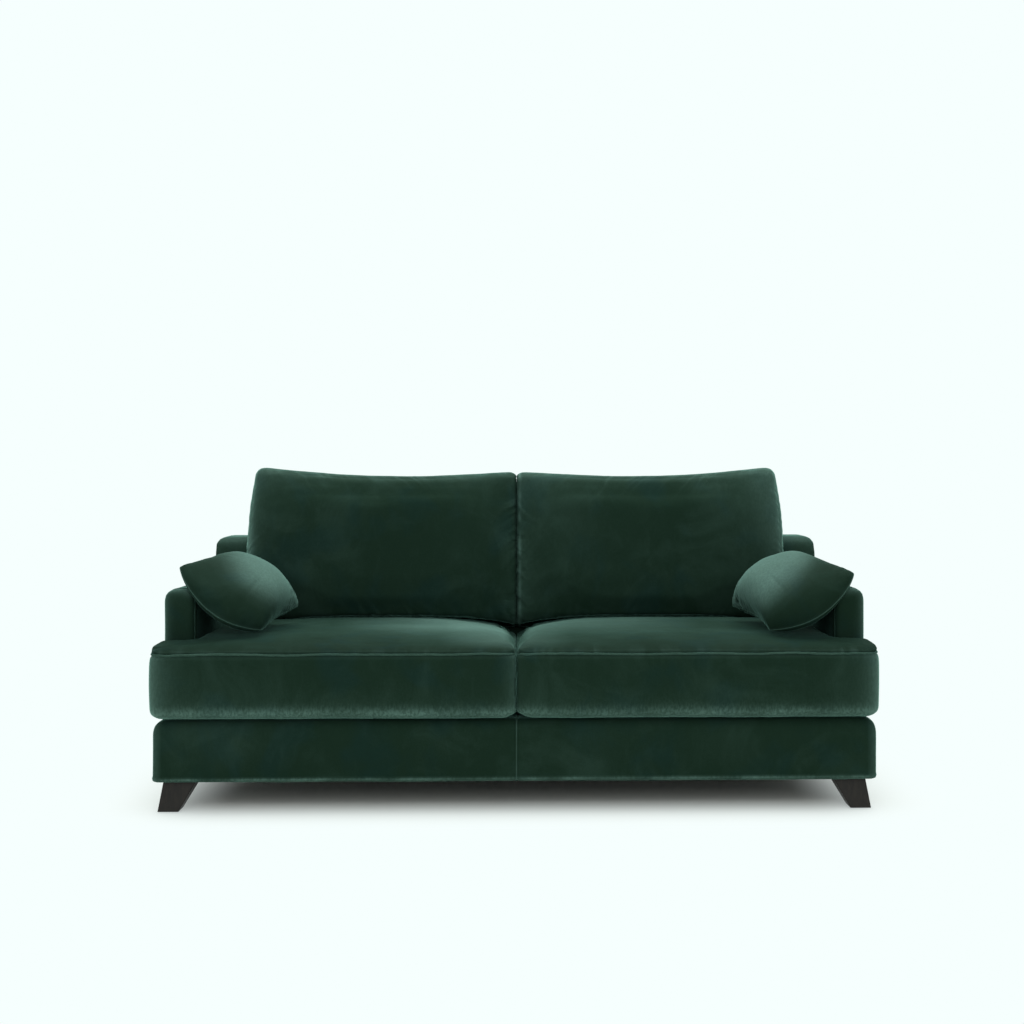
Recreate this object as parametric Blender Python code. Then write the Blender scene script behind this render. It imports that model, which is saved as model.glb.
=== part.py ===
"""A velvet sofa for two or three, with T-shaped seat cushions, slim arms and splayed block legs.

The timber frame, springs and webbing sit inside padded covers, and the loose cushions lie on top.
Lengths are in metres. +Z is up, the front looks along -Y, and the origin is on the floor under the middle.
Every piece is worked out from the sizes below, so a changed size carries through to what it fits.
"""

import math

import bmesh
import bpy
from mathutils import Matrix, Vector
from mathutils.geometry import delaunay_2d_cdt

# Whole sofa
sofa_width = 2.000
sofa_depth = 0.940
leg_height = 0.084
base_height = 0.170
arm_top_height = 0.606
back_top_height = 0.721
back_lean = math.radians(10.0)
back_top_depth = 0.149
fit_gap = 0.0004
soft_gap = 0.0005
cut_overrun = 0.020
arc_steps = 4

# Padded covers of the base, arms and back
cushion_overhang = 0.015
base_front_radius = 0.034
base_end_radius = 0.026
base_bottom_radius = 0.008
front_pad_thickness = 0.040
side_pad_thickness = 0.030
deck_thickness = 0.017
arm_setback = 0.125
arm_width = 0.085
arm_top_radius = 0.036
arm_front_radius = 0.014
arm_facing_thickness = 0.025
arm_inner_pad_thickness = 0.020
arm_top_pad_thickness = 0.027
back_front_radius = 0.036
back_rear_radius = 0.016
back_end_radius = 0.028
back_front_pad_thickness = 0.030
back_top_pad_thickness = 0.030
outside_panel_thickness = 0.012
dust_cover_thickness = 0.0015
dust_cover_clearance = 0.004

# Timber frame
rail_thickness = 0.025
post_depth = 0.060
back_post_depth = 0.055
arm_rail_height = 0.030
top_rail_height = 0.040
lower_rail_height = 0.060
cross_rail_height = 0.090
cross_rail_spacing = 0.640
corner_block_size = 0.100
corner_block_height = 0.100

# Springs and webbing
spring_count = 7
spring_wire = 0.0038
spring_waves = 8
spring_width = 0.052
spring_points_per_wave = 6
hook_strip_depth = 0.018
hook_strip_wall = 0.0012
webbing_count = 4
webbing_width = 0.060
webbing_thickness = 0.0022

# Legs
leg_top_width = 0.090
leg_foot_width = 0.058
leg_inset = 0.026
leg_splay = 0.013
leg_edge_radius = 0.003
glide_thickness = 0.003
glide_radius = 0.016
bolt_radius = 0.004
bolt_reach = 0.035
bolt_inset = 0.024
bolt_sides = 12
glide_sides = 20

# Seat cushions
seat_overhang_side = 0.006
seat_gap = 0.003
seat_border = 0.175
seat_edge_crown = 0.026
seat_middle_crown = 0.024
seat_corner_radius = 0.030
seat_inner_corner_radius = 0.012
seat_side_clearance = 0.002
seat_crown_run_edge = 0.070
seat_crown_run_arm = 0.360
seat_crown_run_middle = 0.240
seat_crown_run_front = 0.200
seat_crown_run_back = 0.200
piping_radius = 0.004
border_rounding = 0.020
border_bulge = 0.004
outline_spacing = 0.095
crown_spacing = 0.080
crown_margin = 0.015
crown_ring_insets = (0.020,)

# Back cushions
back_cushion_arm_clearance = 0.0485
back_cushion_height = 0.526
back_cushion_border = 0.128
back_cushion_crown = 0.040
back_cushion_bottom = 0.422
back_cushion_corner_radius = 0.026
back_cushion_crown_run = 0.200
back_cushion_sag_share = 0.0277
back_cushion_drop_share = 0.0185
back_cushion_taper_share = 0.0185

# Scatter cushions that lean on the arms
# Corners are outwards, backwards and upwards from where the arm's inner side meets its front:
# the upper two from the arm's top, the lower two from the seat's piping
pillow_rise = 0.098
pillow_drop = 0.050
pillow_fullness = 0.40
pillow_edge_pull = 0.050
pillow_seam_half = 0.003
pillow_steps = 12
pillow_outer_corner = (0.055, 0.020, 0.062)
pillow_front_corner = (-0.194, -0.005, 0.057)
pillow_inner_corner = (-0.247, 0.320, 0.094)
pillow_rear_corner = (-0.026, 0.340, 0.094)
pillow_front_droop = (-0.012, -0.050, -0.052)
pillow_droop_lean_share = 0.40
pillow_fill_lean_share = 0.22

# Levels and planes that several pieces share
front_face = -sofa_depth / 2
rear_face = sofa_depth / 2
half_width = sofa_width / 2
base_front = front_face + cushion_overhang
base_top = leg_height + base_height
arm_front = base_front + arm_setback
arm_inner = half_width - arm_width
back_cushion_width = arm_inner - seat_gap / 2 - back_cushion_arm_clearance
arm_core_outer = half_width - side_pad_thickness
arm_core_inner = arm_inner + arm_inner_pad_thickness
arm_rear = rear_face - back_top_depth
back_lean_slope = math.tan(back_lean)
facing_rear = arm_front + arm_facing_thickness
side_frame_width = arm_core_outer - arm_core_inner - 2 * fit_gap
deck_underside = base_top - deck_thickness
hook_strip_height = 2 * hook_strip_wall + spring_wire + 2 * fit_gap
rail_top = deck_underside - hook_strip_height - 2 * fit_gap
front_rail_front = base_front + front_pad_thickness + fit_gap
front_rail_back = front_rail_front + rail_thickness
panel_front = rear_face - outside_panel_thickness
rear_rail_back = panel_front - fit_gap
rear_rail_front = rear_rail_back - rail_thickness


def back_face_at(height):
    """How far back the padded front of the backrest is at a height."""
    return rear_face - back_top_depth - (back_top_height - height) * back_lean_slope


def back_core_at(height):
    """The inner side of the backrest's front pad at a height."""
    return back_face_at(height) + back_front_pad_thickness / math.cos(back_lean)


def clear_scene():
    for thing in list(bpy.data.objects):
        bpy.data.objects.remove(thing)


def surface(name, colour, roughness, metallic=0.0):
    made = bpy.data.materials.new(name)
    made.use_nodes = True
    shader = made.node_tree.nodes["Principled BSDF"]
    shader.inputs["Base Color"].default_value = (*colour, 1.0)
    shader.inputs["Roughness"].default_value = roughness
    shader.inputs["Metallic"].default_value = metallic
    return made


def make_surfaces():
    return {
        "velvet": surface("velvet", (0.016, 0.060, 0.045), 0.85),
        "leg_wood": surface("leg_wood", (0.022, 0.018, 0.016), 0.45),
        "timber": surface("timber", (0.56, 0.40, 0.24), 0.70),
        "steel": surface("steel", (0.55, 0.56, 0.57), 0.35, 1.0),
        "cambric": surface("cambric", (0.025, 0.025, 0.027), 0.95),
        "webbing": surface("webbing", (0.30, 0.26, 0.20), 0.90),
        "glide_plastic": surface("glide_plastic", (0.05, 0.05, 0.05), 0.50),
    }


def place(name, bm, finish):
    """Turns a bmesh into a named object with outward faces."""
    bmesh.ops.recalc_face_normals(bm, faces=bm.faces)
    mesh = bpy.data.meshes.new(name)
    bm.to_mesh(mesh)
    bm.free()
    made = bpy.data.objects.new(name, mesh)
    bpy.context.scene.collection.objects.link(made)
    if finish:
        mesh.materials.append(finish)
    return made


def as_cutter(thing):
    thing.hide_render = True
    thing.display_type = "WIRE"
    return thing


def shade_round(thing, limit=math.radians(35)):
    thing.data.shade_smooth()
    thing.data.set_sharp_from_angle(angle=limit)
    return thing


def combine(thing, other, operation):
    step = thing.modifiers.new(other.name, "BOOLEAN")
    step.operation = operation
    step.solver = "EXACT"
    step.object = other


def hexahedron(bm, bottom, top):
    """A six-sided block between two loops of four points."""
    lower = [bm.verts.new(p) for p in bottom]
    upper = [bm.verts.new(p) for p in top]
    bm.faces.new(lower)
    bm.faces.new(upper)
    for i in range(4):
        j = (i + 1) % 4
        bm.faces.new((lower[i], lower[j], upper[j], upper[i]))


def add_box(bm, low, high):
    (x0, y0, z0), (x1, y1, z1) = low, high
    corners = [(x0, y0), (x1, y0), (x1, y1), (x0, y1)]
    hexahedron(bm, [(x, y, z0) for x, y in corners], [(x, y, z1) for x, y in corners])


def box(name, low, high, finish=None):
    bm = bmesh.new()
    add_box(bm, low, high)
    return place(name, bm, finish)


def extrusion(name, outline, start, end, axis, finish=None):
    """An outline drawn across an axis and pulled along it from start to end."""
    bm = bmesh.new()
    order = {"X": (2, 0, 1), "Y": (0, 2, 1), "Z": (0, 1, 2)}[axis]

    def loop(level):
        return [bm.verts.new([(a, b, level)[k] for k in order]) for a, b in outline]

    first, last = loop(start), loop(end)
    bm.faces.new(first)
    bm.faces.new(last)
    for i in range(len(outline)):
        j = (i + 1) % len(outline)
        bm.faces.new((first[i], first[j], last[j], last[i]))
    return place(name, bm, finish)


def soften(thing, radius_of_edge, steps=arc_steps):
    """Rounds each edge on its own radius; radius_of_edge takes the edge's two ends."""
    mesh = thing.data
    points = [v.co for v in mesh.vertices]
    radii = [radius_of_edge(*(points[i] for i in edge.vertices)) for edge in mesh.edges]
    widest = max(radii)
    weight = mesh.attributes.new("bevel_weight_edge", "FLOAT", "EDGE")
    weight.data.foreach_set("value", [radius / widest for radius in radii])
    rounding = thing.modifiers.new("Rounding", "BEVEL")
    rounding.limit_method = "WEIGHT"
    rounding.width = widest
    rounding.segments = steps
    rounding.use_clamp_overlap = True


def both_ends(a, b, axis, level):
    """Whether an edge lies in the plane at a level across an axis."""
    return abs(a[axis] - level) < fit_gap and abs(b[axis] - level) < fit_gap


def sided(side, low, high):
    """A box's two corners, given with positive x, on the left (-1) or the right (+1)."""
    if side > 0:
        return low, high
    return (-high[0], *low[1:]), (-low[0], *high[1:])


def side_name(side):
    return "left" if side < 0 else "right"


def base_front_pad(finish):
    """The padded border across the front of the base, turned back under the arm facings at both ends."""
    low = (-half_width, base_front, leg_height)
    high = (half_width, facing_rear, base_top)
    pad = box("base_front_pad", low, high, finish)

    def radius(a, b):
        at_front = both_ends(a, b, 1, base_front)
        at_end = both_ends(a, b, 0, -half_width) or both_ends(a, b, 0, half_width)
        if both_ends(a, b, 2, base_top) and (at_front or at_end):
            return base_front_radius
        if at_front and at_end:
            return base_end_radius
        if both_ends(a, b, 2, leg_height) and (at_front or at_end):
            return base_bottom_radius
        return 0.0

    soften(pad, radius)
    hollow = box(
        "base_hollow_cutter",
        (-arm_core_outer, base_front + front_pad_thickness, leg_height - cut_overrun),
        (arm_core_outer, facing_rear + cut_overrun, deck_underside),
    )
    combine(pad, as_cutter(hollow), "DIFFERENCE")
    return shade_round(pad)


def back_block(name, grow, finish=None):
    """The outside of the backrest, from the base's underside to its rounded top."""
    low, high = leg_height - grow, back_top_height + grow
    reach = half_width + grow
    sheer = grow / math.cos(back_lean)
    profile = [
        (back_face_at(low) - sheer, low),
        (rear_face + grow, low),
        (rear_face + grow, high),
        (back_face_at(high) - sheer, high),
    ]
    block = extrusion(name, profile, -reach, reach, "X", finish)
    front_low, front_high = profile[0][0], profile[3][0]

    def radius(a, b):
        at_end = both_ends(a, b, 0, -reach) or both_ends(a, b, 0, reach)
        at_top = both_ends(a, b, 2, high)
        if at_top and both_ends(a, b, 1, front_high):
            return back_front_radius
        if at_top and both_ends(a, b, 1, rear_face + grow):
            return back_rear_radius
        if at_top and at_end:
            return back_end_radius
        if at_end and both_ends(a, b, 1, rear_face + grow):
            return back_rear_radius
        return 0.0

    soften(block, radius)
    return block


def back_cover(finish):
    """The padded front, top and ends of the backrest, open behind and below."""
    cover = back_block("back_cover", 0.0, finish)
    ceiling = back_top_height - back_top_pad_thickness
    floor = leg_height - cut_overrun
    hollow_profile = [
        (back_core_at(floor), floor),
        (rear_face + cut_overrun, floor),
        (rear_face + cut_overrun, ceiling),
        (back_core_at(ceiling), ceiling),
    ]
    hollow = extrusion("back_hollow_cutter", hollow_profile, -arm_core_outer, arm_core_outer, "X")
    combine(cover, as_cutter(hollow), "DIFFERENCE")
    under = box(
        "back_under_cutter",
        (-arm_core_outer, back_face_at(leg_height) - cut_overrun, leg_height - cut_overrun),
        (arm_core_outer, rear_face + cut_overrun, base_top + fit_gap),
    )
    combine(cover, as_cutter(under), "DIFFERENCE")
    return shade_round(cover)


def outside_back_panel(finish):
    """The covered board that closes the back, let in flush between the ends."""
    reach = arm_core_outer - fit_gap
    top = back_top_height - back_top_pad_thickness - fit_gap
    return box("outside_back_panel", (-reach, panel_front, leg_height), (reach, rear_face, top), finish)


def arm_block(side, name, grow, start, end, finish=None):
    """The outside of an arm between two places along its length."""
    low, high = sided(
        side,
        (arm_inner - grow, start, leg_height),
        (half_width + grow, end, arm_top_height + grow),
    )
    block = box(name, low, high, finish)

    def radius(a, b):
        at_top = both_ends(a, b, 2, high[2])
        across = abs(a.x - b.x) > fit_gap
        at_front = both_ends(a, b, 1, start)
        if at_top and not across:
            return arm_top_radius
        if at_front and (at_top or not across):
            return arm_front_radius if start <= arm_front else 0.0
        return 0.0

    soften(block, radius)
    return block


def arm_cover(side, finish):
    """The pad wrapped over an arm: outer wall to the bottom edge, top, and inner wall on the deck."""
    where = side_name(side)
    start = facing_rear + fit_gap
    cover = arm_block(side, f"arm_cover_{where}", 0.0, start, arm_rear, finish)
    ceiling = arm_top_height - arm_top_pad_thickness
    low, high = sided(
        side,
        (arm_core_inner, start - cut_overrun, leg_height - cut_overrun),
        (arm_core_outer, rear_face + cut_overrun, ceiling),
    )
    combine(cover, as_cutter(box(f"arm_hollow_cutter_{where}", low, high)), "DIFFERENCE")
    low, high = sided(
        side,
        (arm_inner - cut_overrun, start - cut_overrun, leg_height - cut_overrun),
        (arm_core_inner + fit_gap, rear_face + cut_overrun, base_top + fit_gap),
    )
    combine(cover, as_cutter(box(f"arm_under_cutter_{where}", low, high)), "DIFFERENCE")
    behind = back_block(f"arm_back_cutter_{where}", fit_gap)
    combine(cover, as_cutter(behind), "DIFFERENCE")
    return shade_round(cover)


def arm_facing(side, finish):
    """The padded panel that closes the front of an arm above the base."""
    where = side_name(side)
    facing = arm_block(side, f"arm_facing_{where}", 0.0, arm_front, facing_rear, finish)
    low, high = sided(
        side,
        (arm_inner - cut_overrun, arm_front - cut_overrun, leg_height - cut_overrun),
        (half_width + cut_overrun, facing_rear + cut_overrun, base_top + fit_gap),
    )
    combine(facing, as_cutter(box(f"arm_facing_cutter_{where}", low, high)), "DIFFERENCE")
    return shade_round(facing)


def seat_deck(finish):
    """The padded platform over the springs, which the seat cushions lie on."""
    low = (-arm_core_inner, facing_rear + fit_gap, deck_underside)
    high = (arm_core_inner, rear_rail_back, base_top)
    return box("seat_deck", low, high, finish)


def dust_cover(finish):
    """The thin cloth under the rails, cut back at the corners for the legs."""
    reach = arm_core_outer - fit_gap
    leg_room = leg_inset + leg_top_width + dust_cover_clearance
    notch_x = half_width - leg_room
    front, front_notch = front_rail_front, base_front + leg_room
    rear, rear_notch = rear_rail_back, rear_face - leg_room
    outline = [
        (-notch_x, front),
        (notch_x, front),
        (notch_x, front_notch),
        (reach, front_notch),
        (reach, rear_notch),
        (notch_x, rear_notch),
        (notch_x, rear),
        (-notch_x, rear),
        (-notch_x, rear_notch),
        (-reach, rear_notch),
        (-reach, front_notch),
        (-notch_x, front_notch),
    ]
    top = leg_height - fit_gap
    return extrusion("dust_cover", outline, top - dust_cover_thickness, top, "Z", finish)


def seat_rails(timber):
    """Front, rear, side and cross rails that carry the springs and the legs."""
    reach = arm_core_outer - fit_gap
    box("front_rail", (-reach, front_rail_front, leg_height), (reach, front_rail_back, rail_top), timber)
    box("rear_rail", (-reach, rear_rail_front, leg_height), (reach, rear_rail_back, rail_top), timber)
    for side in (-1, 1):
        low, high = sided(
            side,
            (reach - side_frame_width, front_rail_back + fit_gap, leg_height),
            (reach, rear_rail_front - fit_gap, rail_top),
        )
        box(f"side_rail_{side_name(side)}", low, high, timber)
        middle = side * cross_rail_spacing / 2
        low = (middle - rail_thickness / 2, front_rail_back + fit_gap, leg_height)
        high = (middle + rail_thickness / 2, rear_rail_front - fit_gap, leg_height + cross_rail_height)
        box(f"cross_rail_{side_name(side)}", low, high, timber)


def leg_corner(side, end):
    """The outer corner of a leg's top: side is left or right, end is front (-1) or rear (+1)."""
    y = base_front + leg_inset if end < 0 else rear_face - leg_inset
    return side * (half_width - leg_inset), y


def bolt_place(side, end):
    """Where a leg's bolt goes up, inside the corner of the rails."""
    x, y = leg_corner(side, end)
    reach = leg_top_width - bolt_inset
    return x - side * reach, y - end * reach


def corner_name(side, end):
    return f"{'front' if end < 0 else 'rear'}_{side_name(side)}"


def cylinder(name, centre, low, high, radius, sides, finish=None):
    """An upright round bar."""
    bm = bmesh.new()
    bmesh.ops.create_cone(
        bm,
        cap_ends=True,
        segments=sides,
        radius1=radius,
        radius2=radius,
        depth=high - low,
        matrix=Matrix.Translation((*centre, (low + high) / 2)),
    )
    return place(name, bm, finish)


def bolt_hole_cutter(name, side, end, low, high):
    radius = bolt_radius + fit_gap
    return as_cutter(cylinder(name, bolt_place(side, end), low, high, radius, bolt_sides))


def corner_blocks(timber):
    """Blocks glued into the rails' corners, which take the leg bolts."""
    reach = arm_core_outer - side_frame_width - 2 * fit_gap
    for side in (-1, 1):
        for end in (-1, 1):
            where = corner_name(side, end)
            corner = front_rail_back + fit_gap if end < 0 else rear_rail_front - fit_gap
            outline = [
                (side * reach, corner),
                (side * (reach - corner_block_size), corner),
                (side * reach, corner - end * corner_block_size),
            ]
            top = leg_height + corner_block_height
            block = extrusion(f"corner_block_{where}", outline, leg_height, top, "Z", timber)
            high = leg_height + bolt_reach + cut_overrun
            hole = bolt_hole_cutter(f"block_hole_{where}", side, end, leg_height - cut_overrun, high)
            combine(block, hole, "DIFFERENCE")


def leg_square(side, end, corner, width, level):
    """A leg's four corners at a level, from its outer corner inwards."""
    x, y = corner
    inner_x, inner_y = x - side * width, y - end * width
    return [(inner_x, inner_y, level), (x, inner_y, level), (x, y, level), (inner_x, y, level)]


def leg(side, end, wood):
    """A splayed block leg with a hole for its bolt."""
    where = corner_name(side, end)
    x, y = leg_corner(side, end)
    foot = (x + side * leg_splay, y + end * leg_splay)
    bm = bmesh.new()
    hexahedron(
        bm,
        leg_square(side, end, foot, leg_foot_width, glide_thickness + fit_gap),
        leg_square(side, end, (x, y), leg_top_width, leg_height - fit_gap),
    )
    block = place(f"leg_{where}", bm, wood)
    soften(block, lambda a, b: leg_edge_radius if abs(a.z - b.z) > leg_edge_radius else 0.0, 2)
    low, high = leg_height - bolt_reach - fit_gap, leg_height + cut_overrun
    combine(block, bolt_hole_cutter(f"leg_hole_{where}", side, end, low, high), "DIFFERENCE")


def leg_fittings(side, end, steel, plastic):
    """The bolt that holds a leg, and the glide under its foot."""
    where = corner_name(side, end)
    x, y = bolt_place(side, end)
    low, high = leg_height - bolt_reach, leg_height + bolt_reach
    shade_round(cylinder(f"leg_bolt_{where}", (x, y), low, high, bolt_radius, bolt_sides, steel))
    x, y = leg_corner(side, end)
    middle_x = x + side * (leg_splay - leg_foot_width / 2)
    middle_y = y + end * (leg_splay - leg_foot_width / 2)
    glide = cylinder(
        f"leg_glide_{where}", (middle_x, middle_y), 0.0, glide_thickness, glide_radius, glide_sides, plastic
    )
    shade_round(glide)


def arm_frames(timber):
    """A post and a top rail inside each arm."""
    front = facing_rear + fit_gap
    ceiling = arm_top_height - arm_top_pad_thickness - fit_gap
    rail_underside = ceiling - arm_rail_height
    inner, outer = arm_core_inner + fit_gap, arm_core_outer - fit_gap
    for side in (-1, 1):
        where = side_name(side)
        low, high = sided(
            side,
            (inner, front, rail_top + fit_gap),
            (outer, front + post_depth, rail_underside - fit_gap),
        )
        box(f"arm_post_{where}", low, high, timber)
        low, high = sided(
            side,
            (inner, front, rail_underside),
            (outer, back_face_at(ceiling) - back_front_radius, ceiling),
        )
        box(f"arm_top_rail_{where}", low, high, timber)


def back_frame(timber):
    """Leaning posts, a top rail and a lower rail inside the backrest."""
    ceiling = back_top_height - back_top_pad_thickness - fit_gap
    post_top = ceiling - top_rail_height - fit_gap
    post_foot = rail_top + fit_gap
    reach = arm_core_outer - fit_gap
    webbing_room = webbing_thickness + 2 * fit_gap

    def front_at(height):
        return back_core_at(height) + webbing_room

    def leaning(low, high, depth):
        return [
            (front_at(low), low),
            (front_at(low) + depth, low),
            (front_at(high) + depth, high),
            (front_at(high), high),
        ]

    lower_rail_foot = base_top + fit_gap
    lower_rail_top = lower_rail_foot + lower_rail_height
    ends = reach - side_frame_width
    for where, foot, x in (
        ("left", post_foot, -reach),
        ("middle", lower_rail_top + fit_gap, -side_frame_width / 2),
        ("right", post_foot, ends),
    ):
        profile = leaning(foot, post_top, back_post_depth)
        extrusion(f"back_post_{where}", profile, x, x + side_frame_width, "X", timber)
    profile = leaning(ceiling - top_rail_height, ceiling, back_post_depth)
    extrusion("back_top_rail", profile, -reach, reach, "X", timber)
    profile = leaning(lower_rail_foot, lower_rail_top, back_post_depth)
    extrusion("back_lower_rail", profile, fit_gap - ends, ends - fit_gap, "X", timber)


def back_webbing(finish):
    """Upright straps stretched from the lower rail to the top rail, just behind the front pad."""
    low = base_top + fit_gap
    high = back_top_height - back_top_pad_thickness - fit_gap
    clear_width = 2 * (arm_core_outer - side_frame_width)
    profile = [
        (back_core_at(low) + fit_gap, low),
        (back_core_at(low) + fit_gap + webbing_thickness, low),
        (back_core_at(high) + fit_gap + webbing_thickness, high),
        (back_core_at(high) + fit_gap, high),
    ]
    for i in range(webbing_count):
        start = clear_width * ((i + 1 / 2) / webbing_count - 1 / 2) - webbing_width / 2
        extrusion(f"back_webbing_{i + 1}", profile, start, start + webbing_width, "X", finish)


def seat_springs(steel):
    """Zigzag steel springs from the front rail to the rear rail."""
    start = front_rail_front + rail_thickness / 2
    end = rear_rail_front + rail_thickness / 2
    level = rail_top + hook_strip_wall + 2 * fit_gap + spring_wire / 2
    wire = bpy.data.curves.new("seat_spring", "CURVE")
    wire.dimensions = "3D"
    wire.bevel_depth = spring_wire / 2
    wire.bevel_resolution = 0
    wire.use_fill_caps = True
    steps = spring_waves * spring_points_per_wave
    line = wire.splines.new("POLY")
    line.points.add(steps)
    for k in range(steps + 1):
        turn = math.tau * (k + 1 / 2) / spring_points_per_wave
        across = spring_width / 2 * math.sin(turn)
        line.points[k].co = (across, start + (end - start) * k / steps, level, 1.0)
    wire.materials.append(steel)
    for i in range(spring_count):
        spring = bpy.data.objects.new(f"seat_spring_{i + 1}", wire)
        spring.location.x = 2 * arm_core_inner * ((i + 1 / 2) / spring_count - 1 / 2)
        bpy.context.scene.collection.objects.link(spring)


def spring_hook_strips(steel):
    """Folded strips along the front and rear rails, which grip the ends of the springs."""
    base = rail_top + fit_gap
    slot_low = base + hook_strip_wall
    slot_high = slot_low + spring_wire + 2 * fit_gap
    reach = arm_core_inner
    for where, rail, open_side in (("front", front_rail_front, 1), ("rear", rear_rail_front, -1)):
        centre = rail + rail_thickness / 2
        closed = centre - open_side * hook_strip_depth / 2
        wall = closed + open_side * hook_strip_wall
        mouth = centre + open_side * hook_strip_depth / 2
        profile = [
            (closed, base),
            (mouth, base),
            (mouth, slot_low),
            (wall, slot_low),
            (wall, slot_high),
            (mouth, slot_high),
            (mouth, slot_high + hook_strip_wall),
            (closed, slot_high + hook_strip_wall),
        ]
        extrusion(f"spring_hook_strip_{where}", profile, -reach, reach, "X", steel)


def rounded_outline(corners, spacing):
    """A closed outline through (x, y, radius) corners, with points along its straight runs."""
    count = len(corners)
    arcs = []
    for i, (x, y, radius) in enumerate(corners):
        corner = Vector((x, y))
        before = (Vector(corners[i - 1][:2]) - corner).normalized()
        after = (Vector(corners[(i + 1) % count][:2]) - corner).normalized()
        half_angle = before.angle(after) / 2
        centre = corner + (before + after).normalized() * radius / math.sin(half_angle)
        start = corner + before * radius / math.tan(half_angle) - centre
        end = corner + after * radius / math.tan(half_angle) - centre
        sweep = start.angle_signed(end)
        arc = [
            centre + Matrix.Rotation(-sweep * k / arc_steps, 2) @ start for k in range(arc_steps + 1)
        ]
        arcs.append(arc)
    outline = []
    for i, arc in enumerate(arcs):
        outline += arc
        run = arcs[(i + 1) % count][0] - arc[-1]
        pieces = max(1, round(run.length / spacing))
        outline += [arc[-1] + run * k / pieces for k in range(1, pieces)]
    return outline


def inset(outline, distance):
    """The outline moved inwards; it runs counterclockwise."""
    moved = []
    for i, point in enumerate(outline):
        before = (point - outline[i - 1]).normalized()
        after = (outline[(i + 1) % len(outline)] - point).normalized()
        inward = (before + after).normalized()
        inward = Vector((-inward.y, inward.x))
        stretch = 1 / max(0.5, math.sqrt((1 + before.dot(after)) / 2))
        moved.append(point + inward * distance * stretch)
    return moved


def inside(point, outline, margin):
    """Whether a point is in the outline and at least a margin away from it."""
    within = False
    for i, b in enumerate(outline):
        a = outline[i - 1]
        if (a.y > point.y) != (b.y > point.y):
            if point.x < (b.x - a.x) * (point.y - a.y) / (b.y - a.y) + a.x:
                within = not within
        along = max(0.0, min(1.0, (point - a).dot(b - a) / (b - a).length_squared))
        if (a + (b - a) * along - point).length < margin:
            return False
    return within


def spread(low, high, spacing):
    """Evenly spaced values from low to high, both ends included."""
    pieces = max(1, round((high - low) / spacing))
    return [low + (high - low) * k / pieces for k in range(pieces + 1)]


def cap(bm, ring, height_at=None, grid=()):
    """Closes a ring of vertices with triangles, through the grid points well inside it."""
    outline = [v.co.xy for v in ring]
    points = outline + [p for p in map(Vector, grid) if inside(p, outline, crown_margin)]
    edges = [(i, (i + 1) % len(outline)) for i in range(len(outline))]
    found = delaunay_2d_cdt(points, edges, [], 1, fit_gap / 100)
    verts = []
    for spot, sources in zip(found[0], found[3]):
        at_ring = next((k for k in sources if k < len(ring)), None)
        verts.append(bm.verts.new((*spot, height_at(*spot))) if at_ring is None else ring[at_ring])
    for corners in found[2]:
        bm.faces.new([verts[k] for k in corners])


def boxed_cushion(outline, rings, top_at, grid):
    """A bordered cushion: rings of (inset, height) from its flat bottom up, then its crowned top."""
    bm = bmesh.new()
    loops = []
    for distance, height in rings:
        loops.append([bm.verts.new((*p, height)) for p in inset(outline, distance)])
    for distance in crown_ring_insets:
        loops.append([bm.verts.new((*p, top_at(*p))) for p in inset(outline, distance)])
    for lower, upper in zip(loops, loops[1:]):
        for i in range(len(outline)):
            j = (i + 1) % len(outline)
            bm.faces.new((lower[i], lower[j], upper[j], upper[i]))
    cap(bm, loops[0])
    cap(bm, loops[-1], top_at, grid)
    bmesh.ops.triangulate(bm, faces=bm.faces, quad_method="FIXED")
    return bm


def rise(distance, run):
    """A quarter-ellipse from 0 at an edge to 1 at the end of its run."""
    share = max(0.0, min(1.0, distance / run))
    return math.sqrt(1 - (1 - share) ** 2)


def ease(distance, run):
    """A soft S from 0 to 1 over its run."""
    share = max(0.0, min(1.0, distance / run))
    return share * share * (3 - 2 * share)


def border_rings(depth):
    """The section of a cushion's border: rounded bottom edge, slight bulge, piped seam, rolled top."""
    bead = piping_radius
    return [
        (border_rounding, 0.0),
        (border_rounding / 3, border_rounding / 4),
        (border_bulge / 2, border_rounding),
        (0.0, depth / 2),
        (border_bulge / 2, depth - border_rounding),
        (border_bulge, depth - 2 * bead),
        (border_bulge / 2, depth - bead),
        (border_bulge, depth),
        (border_bulge + 2 * bead, depth + bead / 2),
    ]


seat_bottom = base_top + fit_gap
seat_rear = back_face_at(base_top) - seat_side_clearance
seat_ear_rear = arm_front - seat_side_clearance
seat_side = arm_inner - seat_side_clearance
seat_ear_side = half_width + seat_overhang_side


def seat_crown_at(x, y):
    """Height of the seat's top above its piping; x is the distance from the sofa's middle."""
    middle = rise(x - seat_gap / 2, seat_crown_run_middle)
    edge = rise(seat_ear_side - x, seat_crown_run_edge)
    arm = ease(seat_ear_side - seat_crown_run_edge - x, seat_crown_run_arm)
    front = rise(y - front_face, seat_crown_run_front)
    back = rise(seat_rear + seat_crown_run_back / 4 - y, seat_crown_run_back)
    return (seat_edge_crown * edge + seat_middle_crown * arm) * middle * front * back


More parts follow.
